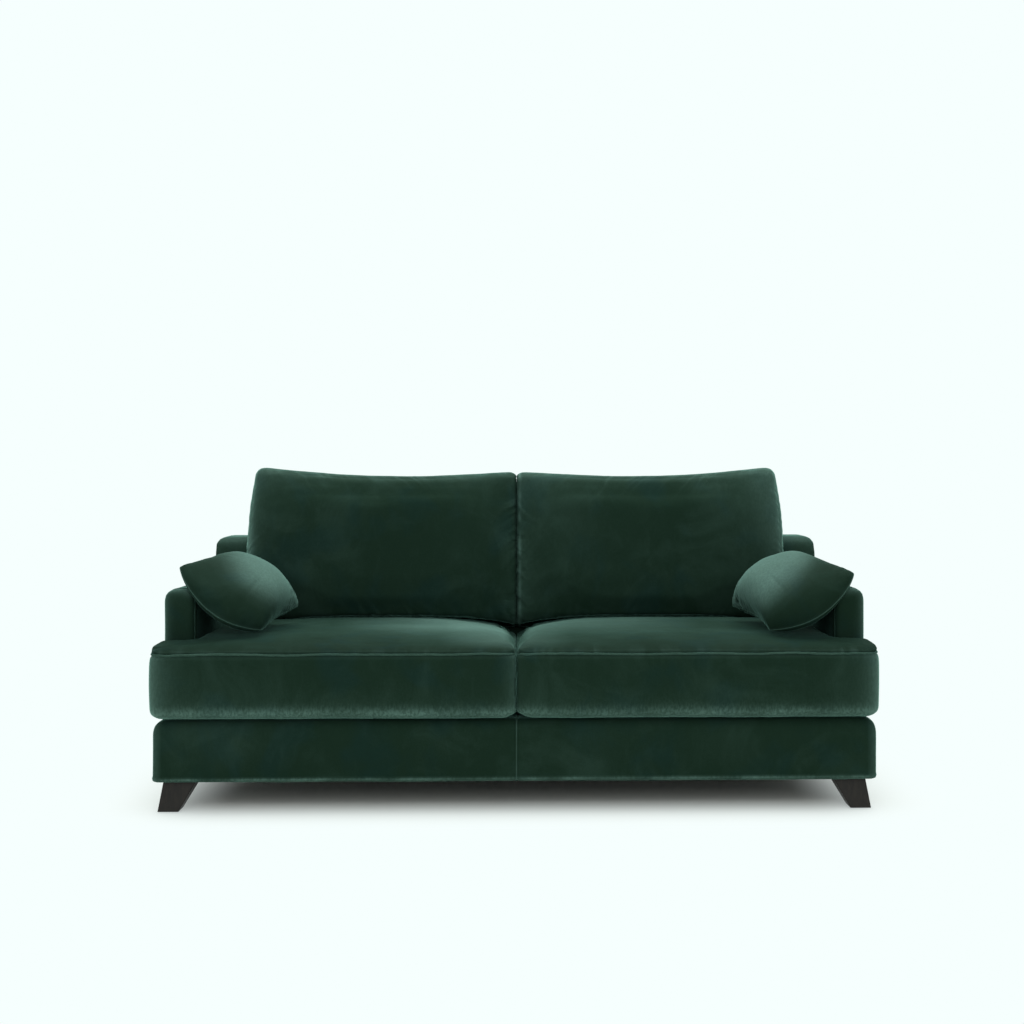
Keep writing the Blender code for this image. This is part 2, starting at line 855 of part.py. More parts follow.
def seat_cushion(side, name, finish=None, swell=0.0):
    """A T-cushion's half: its front runs past the arm as an ear. A cutter is swollen by a gap."""
    radius = seat_corner_radius
    corners = [
        (seat_gap / 2, front_face, radius),
        (seat_ear_side, front_face, radius),
        (seat_ear_side, seat_ear_rear, radius),
        (seat_side, seat_ear_rear, seat_inner_corner_radius),
        (seat_side, seat_rear, radius),
        (seat_gap / 2, seat_rear, radius),
    ]
    outline = rounded_outline(corners, outline_spacing)

    def top_at(x, y):
        return seat_border + piping_radius / 2 + seat_crown_at(x, y)

    across = spread(seat_gap / 2, seat_side, crown_spacing) + [(seat_side + seat_ear_side) / 2]
    along = spread(front_face, seat_ear_rear, crown_spacing / 2)
    along += spread(seat_ear_rear, seat_rear, crown_spacing)[1:]
    bm = boxed_cushion(outline, border_rings(seat_border), top_at, [(x, y) for x in across for y in along])
    for v in bm.verts:
        v.co = Vector((side * v.co.x, v.co.y, v.co.z + seat_bottom))
    bmesh.ops.recalc_face_normals(bm, faces=bm.faces)
    bm.normal_update()
    for v in bm.verts:
        v.co += v.normal * swell
    return shade_round(place(name, bm, finish))


def back_cushion_frame(side):
    """Where a back cushion stands: x across, y up the lean, z forward out of its rear face."""
    level = back_cushion_bottom
    foot = Vector((side * (seat_gap / 2 + back_cushion_width / 2), back_face_at(level), level))
    across = Vector((1, 0, 0))
    upward = Vector((0, math.sin(back_lean), math.cos(back_lean)))
    forward = across.cross(upward)
    axes = Matrix((across, upward, forward)).transposed().to_4x4()
    return Matrix.Translation(foot + forward * fit_gap) @ axes


def back_cushion(side, finish):
    where = side_name(side)
    half = back_cushion_width / 2
    height = back_cushion_height
    radius = back_cushion_corner_radius
    corners = [(-half, 0.0, radius), (half, 0.0, radius), (half, height, radius), (-half, height, radius)]
    outline = rounded_outline(corners, outline_spacing)
    shaped = []
    for p in outline:
        up = p.y / height
        middle = 1 - (p.x / half) ** 2
        narrowing = back_cushion_taper_share * back_cushion_width * max(0.0, 2 * up - 1) ** 2
        inwards = (1 - side * p.x / half) / 2
        sag = back_cushion_sag_share * middle + back_cushion_drop_share * inwards
        shaped.append(Vector((p.x - narrowing * p.x / half, p.y - sag * back_cushion_width * up * up)))
    depth = back_cushion_border

    def crown_at(x, y):
        side_rise = rise(half - abs(x), back_cushion_crown_run)
        up_rise = rise(y, back_cushion_crown_run) * rise(height - y, back_cushion_crown_run)
        return depth + piping_radius / 2 + back_cushion_crown * side_rise * up_rise

    grid = [(x, y) for x in spread(-half, half, crown_spacing) for y in spread(0.0, height, crown_spacing)]
    bm = boxed_cushion(shaped, border_rings(depth), crown_at, grid)
    for v in bm.verts:
        v.co = back_cushion_frame(side) @ v.co
    cushion = place(f"back_cushion_{where}", bm, finish)
    seat = seat_cushion(side, f"back_seat_cutter_{where}", swell=soft_gap)
    combine(cushion, as_cutter(seat), "DIFFERENCE")
    return shade_round(cushion)


def pillow(side, finish):
    """A knife-edge scatter cushion that lies over the arm with its lower edge on the seat."""
    where = side_name(side)
    arm_corner = Vector((arm_inner, arm_front, arm_top_height))
    seat_corner = Vector((*arm_corner.xy, seat_bottom + seat_border))
    outer, rear = (arm_corner + Vector(corner) for corner in (pillow_outer_corner, pillow_rear_corner))
    front, inner = (seat_corner + Vector(corner) for corner in (pillow_front_corner, pillow_inner_corner))
    up = (outer - inner).cross(rear - front).normalized()

    def flat_point(u, v):
        """Between the four corners; u and v run from -1 to 1."""
        towards_rear = (1 + v) / 2
        low = front.lerp(inner, towards_rear)
        high = outer.lerp(rear, towards_rear)
        return low.lerp(high, (1 + u) / 2)

    bm = bmesh.new()
    sheets = []
    for face, depth in ((1, pillow_rise), (-1, pillow_drop)):
        sheet = {}
        for i in range(pillow_steps + 1):
            for j in range(pillow_steps + 1):
                u, v = (math.sin(math.pi / 2 * (2 * k / pillow_steps - 1)) for k in (i, j))
                drawn_in = flat_point(
                    u * (1 - pillow_edge_pull * (1 - v * v)), v * (1 - pillow_edge_pull * (1 - u * u))
                )
                fill = max(0.0, (1 - u * u) * (1 - v * v)) ** pillow_fullness
                fill *= 1 - pillow_fill_lean_share * u
                sag = (1 - u * u) * (1 + pillow_droop_lean_share * u) * (1 - v) / 2
                droop = Vector(pillow_front_droop) * sag
                point = drawn_in + droop + up * face * (depth * fill + pillow_seam_half)
                sheet[i, j] = bm.verts.new((side * point.x, point.y, point.z))
        sheets.append(sheet)
        for i in range(pillow_steps):
            for j in range(pillow_steps):
                bm.faces.new((sheet[i, j], sheet[i + 1, j], sheet[i + 1, j + 1], sheet[i, j + 1]))
    top, bottom = sheets
    last = pillow_steps
    rim = [(i, 0) for i in range(last)] + [(last, j) for j in range(last)]
    rim += [(i, last) for i in range(last, 0, -1)] + [(0, j) for j in range(last, 0, -1)]
    for a, b in zip(rim, rim[1:] + rim[:1]):
        bm.faces.new((top[a], top[b], bottom[b], bottom[a]))
    cushion = place(f"scatter_cushion_{where}", bm, finish)
    arm = arm_block(side, f"pillow_arm_cutter_{where}", fit_gap, arm_front - fit_gap, arm_rear)
    seat = seat_cushion(side, f"pillow_seat_cutter_{where}", swell=soft_gap)
    combine(cushion, as_cutter(arm), "DIFFERENCE")
    combine(cushion, as_cutter(seat), "DIFFERENCE")
    return shade_round(cushion)


def main():
    clear_scene()
    finish = make_surfaces()
    base_front_pad(finish["velvet"])
    back_cover(finish["velvet"])
    outside_back_panel(finish["velvet"])
    seat_deck(finish["cambric"])
    dust_cover(finish["cambric"])
    seat_rails(finish["timber"])
    corner_blocks(finish["timber"])
    arm_frames(finish["timber"])
    back_frame(finish["timber"])
    back_webbing(finish["webbing"])
    seat_springs(finish["steel"])
    spring_hook_strips(finish["steel"])
    for side in (-1, 1):
        for end in (-1, 1):
            leg(side, end, finish["leg_wood"])
            leg_fittings(side, end, finish["steel"], finish["glide_plastic"])
        arm_cover(side, finish["velvet"])
        arm_facing(side, finish["velvet"])
        seat_cushion(side, f"seat_cushion_{side_name(side)}", finish["velvet"])
        back_cushion(side, finish["velvet"])
        pillow(side, finish["velvet"])


main()
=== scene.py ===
"""The look of a two-cushion velvet sofa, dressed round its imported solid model.

It is laid out as an add-on: settings, one operator for each group of pieces, one for
the stage, and a panel. Lengths are in metres in the model's own frame: +Z is up, the
front looks along -Y and the floor is at zero.
"""

import functools
import itertools
import math

import bmesh
import bpy
import numpy as np
from bpy.props import FloatProperty, FloatVectorProperty, IntProperty, PointerProperty
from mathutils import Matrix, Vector
from mathutils.bvhtree import BVHTree
from mathutils.kdtree import KDTree


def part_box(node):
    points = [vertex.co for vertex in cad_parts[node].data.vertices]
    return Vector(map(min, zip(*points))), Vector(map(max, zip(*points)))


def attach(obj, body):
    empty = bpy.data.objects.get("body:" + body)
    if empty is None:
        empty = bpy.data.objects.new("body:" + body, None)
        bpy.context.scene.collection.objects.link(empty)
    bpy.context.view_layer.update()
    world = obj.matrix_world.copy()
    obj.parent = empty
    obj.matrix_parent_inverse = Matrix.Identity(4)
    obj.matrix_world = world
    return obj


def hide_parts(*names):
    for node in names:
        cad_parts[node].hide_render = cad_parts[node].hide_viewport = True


bl_info = {
    "name": "Velvet Sofa",
    "version": (1, 0, 0),
    "blender": (4, 5, 0),
    "location": "3D View > Sidebar > Sofa",
    "description": "Dresses a sofa's solid model with velvet covers, cushions, timber and a studio",
    "category": "Object",
}

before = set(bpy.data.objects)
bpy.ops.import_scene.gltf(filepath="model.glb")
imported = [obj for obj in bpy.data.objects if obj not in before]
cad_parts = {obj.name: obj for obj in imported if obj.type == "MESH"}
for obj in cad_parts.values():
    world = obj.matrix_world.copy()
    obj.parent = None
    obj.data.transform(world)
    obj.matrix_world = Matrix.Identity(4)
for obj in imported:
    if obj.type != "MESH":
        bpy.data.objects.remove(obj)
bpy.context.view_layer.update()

SIDES = (("left", -1), ("right", 1))
LEAN = math.radians(10.0)
BACK_UP = Vector((0, math.sin(LEAN), math.cos(LEAN)))
BACK_FORWARD = Vector((0, -math.cos(LEAN), math.sin(LEAN)))


# Settings


def colour(name, description, default):
    return FloatVectorProperty(
        name=name, description=description, subtype="COLOR", min=0, max=1, default=default
    )


def length(name, description, default, low=0.0, high=10.0):
    return FloatProperty(
        name=name, description=description, unit="LENGTH", min=low, max=high, default=default
    )


def share(name, description, default, high=1.0):
    return FloatProperty(
        name=name, description=description, subtype="FACTOR", min=0, max=high, default=default
    )


def amount(name, description, default, unit="NONE"):
    return FloatProperty(name=name, description=description, unit=unit, min=0, default=default)


class VelvetSettings(bpy.types.PropertyGroup):
    """Colours and finish of the pile."""

    pile: colour("Pile", "Velvet seen straight on", (0.0076, 0.0206, 0.0124))
    # Colour of the painted highlights on the pile, which also stands for brushed nap
    nap_and_highlight: colour(
        "Brushed pile", "Where the pile lies over and catches light", (0.100, 0.185, 0.156)
    )
    cool: colour("Cool patches", "Where the pile lies the other way", (0.0062, 0.0210, 0.0172))
    sheen: colour("Sheen", "Light that grazes the pile", (0.36, 0.78, 0.64))
    sheen_weight: share("Sheen weight", "How much light the pile catches at its edges", 0.74)
    sheen_roughness: share("Sheen roughness", "How wide the light at the edges spreads", 0.26)


class CushionSettings(bpy.types.PropertyGroup):
    """How the covers are cut and how the loose cushions fill them."""

    cloth_step: length("Cloth step", "Spacing of a loose cushion's points", 0.0105, 0.004, 0.03)
    cover_step: length("Cover step", "Spacing of a frame cover's points", 0.010, 0.004, 0.03)
    pressure: amount("Filling pressure", "Pressure of the filling on its cover", 4.0)
    swell: length("Most swell", "The most that a cover moves as it fills", 0.016, 0, 0.04)
    slack: share("Slack", "Spare cloth in a cover, as a share of its size", 0.010, 0.1)
    bead: length("Piping radius", "Radius of the covered cord in the seams", 0.0027, 0.001, 0.01)
    steps: IntProperty(
        name="Filling steps", description="Frames over which a cushion fills", min=1, default=18
    )


class StageSettings(bpy.types.PropertyGroup):
    """Studio, lamps and camera."""

    backdrop: colour("Backdrop", "Studio behind and below the sofa", (0.921, 1.0, 0.991))
    key_power: amount("Overhead power", "Power of the large soft lamp overhead", 125.0, "POWER")
    fill_power: amount("Front power", "Power of the wide front fill lamp", 50.0, "POWER")
    ambient: amount("Room light", "Strength of the even light of the room", 0.62)
    camera_height: length("Camera height", "Height of the lens above the floor", 0.943)
    camera_distance: length("Camera distance", "From the lens to the sofa's middle", 4.095)
    camera_turn: amount("Camera turn", "How far it turns right", math.radians(1.35), "ROTATION")
    lens: amount("Focal length", "Focal length on a 36 mm sensor, in mm", 46.44)


# Materials


class Wiring:
    """Short calls for building the nodes of one material, or of the room."""

    def __init__(self, owner):
        self.owner = owner
        owner.use_nodes = True
        self.tree = owner.node_tree
        self.tree.nodes.clear()

    @functools.cached_property
    def place(self):
        return self.node("ShaderNodeTexCoord").outputs["Object"]

    def set(self, socket, value):
        if isinstance(value, bpy.types.NodeSocket):
            self.tree.links.new(value, socket)
        else:
            socket.default_value = value

    def node(self, kind, inputs=(), **values):
        made = self.tree.nodes.new(kind)
        for key, value in values.items():
            setattr(made, key, value)
        for key, value in dict(inputs).items():
            self.set(made.inputs[key], value)
        return made

    def noise(self, scale, detail=3.0, roughness=0.55, distortion=0.0, place=None):
        made = self.node(
            "ShaderNodeTexNoise",
            {"Vector": place or self.place, "Scale": scale, "Detail": detail,
             "Roughness": roughness, "Distortion": distortion},
        )
        return made.outputs["Fac"]

    def stretched(self, scale, turn=(0, 0, 0)):
        """Object coordinates scaled unevenly, for streaks and grain."""
        inputs = {"Vector": self.place, "Scale": scale, "Rotation": turn}
        return self.node("ShaderNodeMapping", inputs).outputs["Vector"]

    def span(self, value, low, high, to_low=0.0, to_high=1.0):
        names = ("Value", "From Min", "From Max", "To Min", "To Max")
        inputs = dict(zip(names, (value, low, high, to_low, to_high)))
        made = self.node("ShaderNodeMapRange", inputs, interpolation_type="SMOOTHSTEP")
        return made.outputs["Result"]

    def mix(self, factor, a, b):
        """A colour between two others."""
        made = self.node("ShaderNodeMix", data_type="RGBA")
        self.set(made.inputs["Factor"], factor)
        colours = [s for s in made.inputs if s.type == "RGBA"]
        for socket, value in zip(colours, (a, b)):
            self.set(socket, (*value, 1.0) if isinstance(value, tuple) else value)
        return next(s for s in made.outputs if s.type == "RGBA")

    def math(self, operation, a, b=0.0):
        made = self.node("ShaderNodeMath", operation=operation)
        for socket, value in zip(made.inputs, (a, b)):
            self.set(socket, value)
        return made.outputs[0]

    def total(self, *terms):
        """The sum of a list of products of two values."""
        products = [self.math("MULTIPLY", a, b) for a, b in terms]
        return functools.reduce(lambda one, other: self.math("ADD", one, other), products)

    def weave(self, scales, directions, distortion):
        """The crossing threads of a plain weave."""
        threads = []
        for scale, direction in zip(scales, directions):
            inputs = {"Vector": self.place, "Scale": scale, "Distortion": distortion}
            made = self.node("ShaderNodeTexWave", inputs, bands_direction=direction)
            threads.append(made.outputs["Fac"])
        return self.math("MULTIPLY", *threads)

    def bump(self, height, distance, strength=1.0, normal=None):
        inputs = {"Height": height, "Distance": distance, "Strength": strength}
        if normal:
            inputs["Normal"] = normal
        return self.node("ShaderNodeBump", inputs).outputs["Normal"]

    def attribute(self, name):
        return self.node("ShaderNodeAttribute", attribute_name=name).outputs["Fac"]

    def blend(self, factor, one, other):
        """A shader between two others."""
        made = self.node("ShaderNodeMixShader", {"Fac": factor})
        for socket, shader in zip(made.inputs[1:], (one, other)):
            self.set(socket, shader.outputs[0])
        return made

    def seen(self):
        """1 for rays that show the surface itself, 0 for those that carry its light."""
        rays = self.node("ShaderNodeLightPath").outputs
        shown = self.math("MAXIMUM", rays["Is Camera Ray"], rays["Is Glossy Ray"])
        return self.math("MAXIMUM", shown, rays["Is Transmission Ray"])

    def output(self, shader, kind="ShaderNodeOutputMaterial"):
        self.set(self.node(kind).inputs[0], shader.outputs[0])
        return self.owner

    def finish(self, **sockets):
        """The material, its Principled shader with these sockets set or linked."""
        inputs = {key.replace("_", " "): value for key, value in sockets.items()}
        return self.output(self.node("ShaderNodeBsdfPrincipled", inputs))


def new_material(name):
    return Wiring(bpy.data.materials.new(name))


def velvet(name, settings, lightness=1.0, sheen=1.0):
    """Short dense pile: dark straight on, lighter with painted highlights and some brushed nap,
    cool patches, a bright edge.
    """
    w = new_material(name)
    pile, nap_and_highlight, cool = (
        tuple(min(1.0, c * lightness) for c in colour)
        for colour in (settings.pile, settings.nap_and_highlight, settings.cool)
    )
    patches = w.span(w.noise(5.5, 4.0, 0.6, 0.8), 0.42, 0.72)
    along_strokes = w.stretched((1.0, 1.0, 0.45), (0.2, 0.4, 0.1))
    strokes = w.span(w.noise(26.0, 3.0, 0.6, 1.4, along_strokes), 0.45, 0.75)
    along_cool = w.stretched((1.0, 1.3, 0.8), (0.5, 0.1, 0.3))
    cooling = w.span(w.noise(8.0, 2.0, 0.5, 0.4, along_cool), 0.48, 0.68)
    tufts = w.noise(1.0, 3.0, 0.6, 0.3, w.stretched((170.0, 170.0, 75.0)))
    grain = w.span(w.noise(700.0, 2.0, 0.6), 0.3, 0.7, -0.5, 0.5)
    colour = w.mix(w.math("MULTIPLY", cooling, 0.6), pile, cool)
    # Lighter pile: random patches, strokes and grain, plus the painted highlights and the painted
    # light on the foot band that the mesh carries
    lighter_pile_share = w.total(
        (patches, 0.055),
        (strokes, 0.014),
        (w.attribute("nap_and_highlight"), w.span(tufts, 0.36, 0.66, 0.71, 0.89)),
        (w.attribute("crushed_pile_and_highlight"), w.span(tufts, 0.34, 0.68, 0.45, 1.00)),
        (grain, 0.035),
    )
    colour = w.mix(w.math("MINIMUM", w.math("MAXIMUM", lighter_pile_share, 0.0), 1.0), colour, nap_and_highlight)
    roughness = w.span(patches, 0.0, 1.0, 0.72, 0.86)
    normal = w.bump(w.noise(1100.0, 2.0, 0.7), 0.0004, 0.55)
    normal = w.bump(w.noise(60.0, 3.0, 0.55, 0.5), 0.0016, 0.30, normal)
    return w.finish(
        Base_Color=colour, Roughness=roughness, Specular_IOR_Level=0.02, Normal=normal,
        Sheen_Weight=settings.sheen_weight * sheen, Sheen_Roughness=settings.sheen_roughness,
        Sheen_Tint=(*settings.sheen, 1.0),
    )


def stained_wood(name):
    """Espresso stain under a satin lacquer, with the grain down the leg."""
    w = new_material(name)
    flow = w.noise(9.0, 5.0, 0.6, 1.2, w.stretched((6.0, 6.0, 0.7)))
    pores = w.noise(210.0, 2.0, 0.7, 0.0, w.stretched((1.0, 1.0, 0.06)))
    colour = w.mix(w.span(flow, 0.35, 0.68), (0.0080, 0.0066, 0.0050), (0.0165, 0.0135, 0.0104))
    colour = w.mix(w.span(pores, 0.56, 0.68), colour, (0.007, 0.006, 0.005))
    normal = w.bump(pores, 0.0004, 0.4)
    roughness = w.span(flow, 0.3, 0.7, 0.42, 0.56)
    return w.finish(
        Base_Color=colour, Roughness=roughness, Specular_IOR_Level=0.22, Normal=normal,
        Coat_Weight=0.04, Coat_Roughness=0.3,
    )


def raw_timber(name):
    """Planed beech of the frame that the covers hide."""
    w = new_material(name)
    rings = w.noise(14.0, 5.0, 0.6, 2.2, w.stretched((0.5, 3.0, 3.0)))
    flecks = w.noise(320.0, 2.0, 0.6, 0.0, w.stretched((0.1, 1.0, 1.0)))
    colour = w.mix(w.span(rings, 0.3, 0.7), (0.50, 0.33, 0.18), (0.62, 0.44, 0.27))
    colour = w.mix(w.span(flecks, 0.6, 0.72), colour, (0.36, 0.22, 0.12))
    return w.finish(
        Base_Color=colour, Roughness=w.span(rings, 0.3, 0.7, 0.55, 0.7), Specular_IOR_Level=0.3,
        Normal=w.bump(flecks, 0.0003, 0.4),
    )


def spring_steel(name):
    """Oil-tempered wire and zinc-plated bolts."""
    w = new_material(name)
    mottle = w.noise(160.0, 3.0, 0.6)
    colour = w.mix(w.span(mottle, 0.35, 0.7), (0.34, 0.34, 0.35), (0.52, 0.52, 0.53))
    return w.finish(
        Base_Color=colour, Metallic=1.0, Roughness=w.span(mottle, 0.3, 0.7, 0.28, 0.45),
        Normal=w.bump(w.noise(900.0, 2.0), 0.0001, 0.3),
    )


def cambric(name):
    """Black spun-bonded dust cover with its dimpled bond pattern."""
    w = new_material(name)
    inputs = {"Vector": w.place, "Scale": 420.0, "Randomness": 0.25}
    dimples = w.node("ShaderNodeTexVoronoi", inputs)
    fibres = w.noise(240.0, 4.0, 0.65, 0.8)
    colour = w.mix(w.span(fibres, 0.35, 0.7), (0.010, 0.010, 0.011), (0.030, 0.030, 0.032))
    return w.finish(
        Base_Color=colour, Roughness=0.9, Specular_IOR_Level=0.2,
        Normal=w.bump(dimples.outputs["Distance"], 0.0005, 0.5),
    )


def deck_lining(name):
    """Plain cotton platform cloth, dyed close to the velvet."""
    w = new_material(name)
    weave = w.weave((310.0, 310.0), "XY", 0.8)
    slubs = w.span(w.noise(60.0, 4.0, 0.6, 0.4, w.stretched((0.15, 1.0, 1.0))), 0.5, 0.75)
    colour = w.mix(weave, (0.014, 0.030, 0.023), (0.030, 0.052, 0.042))
    colour = w.mix(w.math("MULTIPLY", slubs, 0.35), colour, (0.050, 0.072, 0.060))
    return w.finish(
        Base_Color=colour, Roughness=0.9, Specular_IOR_Level=0.15,
        Normal=w.bump(weave, 0.0004, 0.5),
    )


def woven_webbing(name):
    """Elastic seat webbing with a close plain weave."""
    w = new_material(name)
    weave = w.weave((260.0, 180.0), "XZ", 0.6)
    colour = w.mix(weave, (0.05, 0.045, 0.04), (0.17, 0.15, 0.12))
    return w.finish(
        Base_Color=colour, Roughness=0.85, Specular_IOR_Level=0.2,
        Normal=w.bump(weave, 0.0006, 0.6),
    )


def moulded_plastic(name):
    """Black nylon of the floor glides, scuffed underneath."""
    w = new_material(name)
    scuffs = w.noise(90.0, 4.0, 0.7, 0.6)
    colour = w.mix(w.span(scuffs, 0.45, 0.75), (0.012, 0.012, 0.012), (0.05, 0.05, 0.048))
    return w.finish(
        Base_Color=colour, Roughness=w.span(scuffs, 0.4, 0.7, 0.38, 0.6), Specular_IOR_Level=0.4,
        Normal=w.bump(w.noise(500.0, 2.0), 0.0002, 0.4),
    )


made_materials = {}


def material(kind):
    """Each finish is made once and shared."""
    if kind not in made_materials:
        settings = bpy.context.scene.sofa_velvet
        makers = {
            "velvet": lambda: velvet("bottle_green_velvet", settings),
            # A lighter copy for the piping: a painted highlight on the cords
            "piping": lambda: velvet("lit_piping_velvet", settings, 1.25),
            # A darker copy with less sheen: painted shade in the gaps, inside the arms, on the seat
            # tops and on the scatter cushions
            "shaded_low_sheen": lambda: velvet("shaded_low_sheen_velvet", settings, 0.85, 0.28),
            "leg_wood": lambda: stained_wood("espresso_wood"),
            "timber": lambda: raw_timber("planed_beech"),
            "steel": lambda: spring_steel("spring_steel"),
            "cambric": lambda: cambric("black_cambric"),
            "lining": lambda: deck_lining("deck_lining"),
            "webbing": lambda: woven_webbing("elastic_webbing"),
            "glide_plastic": lambda: moulded_plastic("black_nylon"),
        }
        made_materials[kind] = makers[kind]()
    return made_materials[kind]


# Mesh helpers


def link_mesh(name, mesh, finish):
    """A new object in the scene with one finish."""
    obj = bpy.data.objects.new(name, mesh)
    bpy.context.scene.collection.objects.link(obj)
    obj.data.materials.clear()
    obj.data.materials.append(material(finish))
    return obj


def link_bmesh(name, bm, finish):
    mesh = bpy.data.meshes.new(name)
    bm.to_mesh(mesh)
    bm.free()
    return link_mesh(name, mesh, finish)


def node_copy(node, name):
    """A welded copy of a solid of the frame, as a new object."""
    bm = bmesh.new()
    bm.from_mesh(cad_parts[node].data)
    bmesh.ops.remove_doubles(bm, verts=bm.verts, dist=1e-5)
    return link_bmesh(name, bm, "velvet")


def second_finish(obj, finish, chosen):
    """Gives another finish to the faces for which a test holds."""
    obj.data.materials.append(material(finish))
    for face in obj.data.polygons:
        face.material_index = int(chosen(face))


def settle(obj):
    """Turns what the modifiers make into the object's own mesh."""
    graph = bpy.context.evaluated_depsgraph_get()
    mesh = bpy.data.meshes.new_from_object(obj.evaluated_get(graph))
    old = obj.data
    obj.modifiers.clear()
    obj.data = mesh
    mesh.name = old.name
    bpy.data.meshes.remove(old)


def points_of(obj):
    co = np.empty(len(obj.data.vertices) * 3)
    obj.data.vertices.foreach_get("co", co)
    return co.reshape(-1, 3)


def set_points(obj, points):
    obj.data.vertices.foreach_set("co", np.ascontiguousarray(points, float).ravel())
    obj.data.update()


def normals_of(obj):
    normals = np.empty(len(obj.data.vertices) * 3)
    obj.data.vertex_normals.foreach_get("vector", normals)
    return normals.reshape(-1, 3)


def move_along_normals(obj, heights):
    set_points(obj, points_of(obj) + normals_of(obj) * np.asarray(heights).reshape(-1, 1))


def even_out(obj, step, smoothing):
    """Remeshes the object with even spacing and takes the facets off it."""
    remesh = obj.modifiers.new("Even", "REMESH")
    remesh.mode = "VOXEL"
    remesh.voxel_size = step
    relax = obj.modifiers.new("Relax", "SMOOTH")
    relax.factor = 0.5
    relax.iterations = smoothing
    settle(obj)


def subdivide(obj):
    finer = obj.modifiers.new("Finer", "SUBSURF")
    finer.levels = finer.render_levels = 1
    settle(obj)


def shade_smooth(obj):
    obj.data.polygons.foreach_set("use_smooth", [True] * len(obj.data.polygons))
    obj.data.update()


def soft_noise(points, seed):
    """Smooth random heights from -1 to 1, about one lump to each unit of length."""
    cell = np.floor(points).astype(np.int64)
    local = points - cell
    weight = local * local * (3 - 2 * local)
    primes = np.array((73856093, 19349663, 83492791)[: points.shape[1]])
    total = np.zeros(len(points))
    for corner in itertools.product((0, 1), repeat=points.shape[1]):
        mixed = ((cell + np.array(corner)) * primes).sum(1) + seed * 97531
        mixed = ((mixed ^ (mixed >> 13)) * 1274126177) & 0x7FFFFFFF
        mixed = ((mixed ^ (mixed >> 15)) * 668265263) & 0x7FFFFFFF
        share = np.prod(np.where(np.array(corner) == 1, weight, 1 - weight), axis=1)
        total += (mixed / 0x3FFFFFFF - 1) * share
    return total


SEAM_STEP = 0.005


def section(obj, point, normal):
    """The closed line in which a plane cuts the object, as evenly spaced points."""
    bm = bmesh.new()
    bm.from_mesh(obj.data)
    cut = bmesh.ops.bisect_plane(
        bm, geom=bm.verts[:] + bm.edges[:] + bm.faces[:], dist=1e-7, plane_co=point, plane_no=normal
    )
    edges = dict.fromkeys(e for e in cut["geom_cut"] if isinstance(e, bmesh.types.BMEdge))
    best = []
    while edges:
        edge, _ = edges.popitem()
        chain = list(edge.verts)
        growing = True
        while growing:
            growing = False
            for e in chain[-1].link_edges:
                if e in edges:
                    del edges[e]
                    chain.append(e.other_vert(chain[-1]))
                    growing = True
                    break
        if len(chain) > len(best):
            best = chain
    line = np.array([v.co[:] for v in best])
    bm.free()
    if np.linalg.norm(line[0] - line[-1]) < 1e-6:
        line = line[:-1]
    return resample(line)


def resample(line):
    """A closed line with its points spaced evenly."""
    closed = np.vstack([line, line[:1]])
    steps = np.linalg.norm(np.diff(closed, axis=0), axis=1)
    along = np.concatenate([[0], np.cumsum(steps)])
    count = max(8, int(round(along[-1] / SEAM_STEP)))
    at = np.arange(count) * along[-1] / count
    return np.stack([np.interp(at, along, closed[:, k]) for k in range(3)], axis=1)


def smoothed_line(line):
    for _ in range(2):
        line = (np.roll(line, 1, 0) + 2 * line + np.roll(line, -1, 0)) / 4
    return line


def along_line(line):
    """Distance of each point of a closed line from its first."""
    steps = np.linalg.norm(np.roll(line, -1, 0) - line, axis=1)
    return np.concatenate([[0], np.cumsum(steps)[:-1]])


def near_line(points, line):
    """For each point its distance to the line, and how far along the line it is nearest."""
    tree = KDTree(len(line))
    for i, p in enumerate(line):
        tree.insert(p, i)
    tree.balance()
    run = along_line(line)
    found = [tree.find(p) for p in points]
    return np.array([f[2] for f in found]), run[[f[1] for f in found]]


def tube(name, line, radius, finish, nap_and_highlight=0.5, sides=8):
    """A covered cord along a closed line, as a mesh."""
    count = len(line)
    tangents = np.roll(line, -1, 0) - np.roll(line, 1, 0)
    tangents /= np.linalg.norm(tangents, axis=1, keepdims=True)
    up = np.zeros_like(line)
    side = np.cross(tangents[0], (0.3, 0.2, 0.93))
    for i in range(count):
        side = side - tangents[i] * side.dot(tangents[i])
        side /= np.linalg.norm(side)
        up[i] = side
    other = np.cross(tangents, up)
    angles = np.arange(sides) * 2 * math.pi / sides
    rings = (
        line[:, None, :]
        + up[:, None, :] * (np.cos(angles)[None, :, None] * radius)
        + other[:, None, :] * (np.sin(angles)[None, :, None] * radius)
    )
    first, last = rings[0], rings[-1]
    offsets = [np.linalg.norm(np.roll(last, k, 0) - first, axis=1).sum() for k in range(sides)]
    shift = int(np.argmin(offsets))
    faces = []
    for i in range(count):
        j = (i + 1) % count
        for k in range(sides):
            m = (k + 1) % sides
            a, b = i * sides + k, i * sides + m
            if j:
                c, d = j * sides + m, j * sides + k
            else:
                c, d = (m - shift) % sides, (k - shift) % sides
            faces.append((a, b, c, d))
    mesh = bpy.data.meshes.new(name)
    mesh.from_pydata(rings.reshape(-1, 3).tolist(), [], faces)
    obj = link_mesh(name, mesh, finish)
    # The whole cord gets one share of painted highlight
    mark_pile_light(obj, np.full(len(mesh.vertices), nap_and_highlight))
    shade_smooth(obj)
    return obj


def surface_of(obj):
    bm = bmesh.new()
    bm.from_mesh(obj.data)
    tree = BVHTree.FromBMesh(bm)
    bm.free()
    return tree


def laid_on(line, obj, sink):
    """A line moved onto an object's surface, then into it by sink."""
    tree = surface_of(obj)
    moved = []
    for p in line:
        place, normal, _, _ = tree.find_nearest(Vector(p))
        moved.append(place - normal * sink)
    return np.array([p[:] for p in moved])


def mark_pile_light(obj, values, kind="nap_and_highlight"):
    """Writes at each point how much lighter the pile is coloured, as painted highlight with some
    brushed or crushed nap.
    """
    attribute = obj.data.attributes.new(kind, "FLOAT", "POINT")
    attribute.data.foreach_set("value", np.clip(values, 0, 1).astype(np.float32))


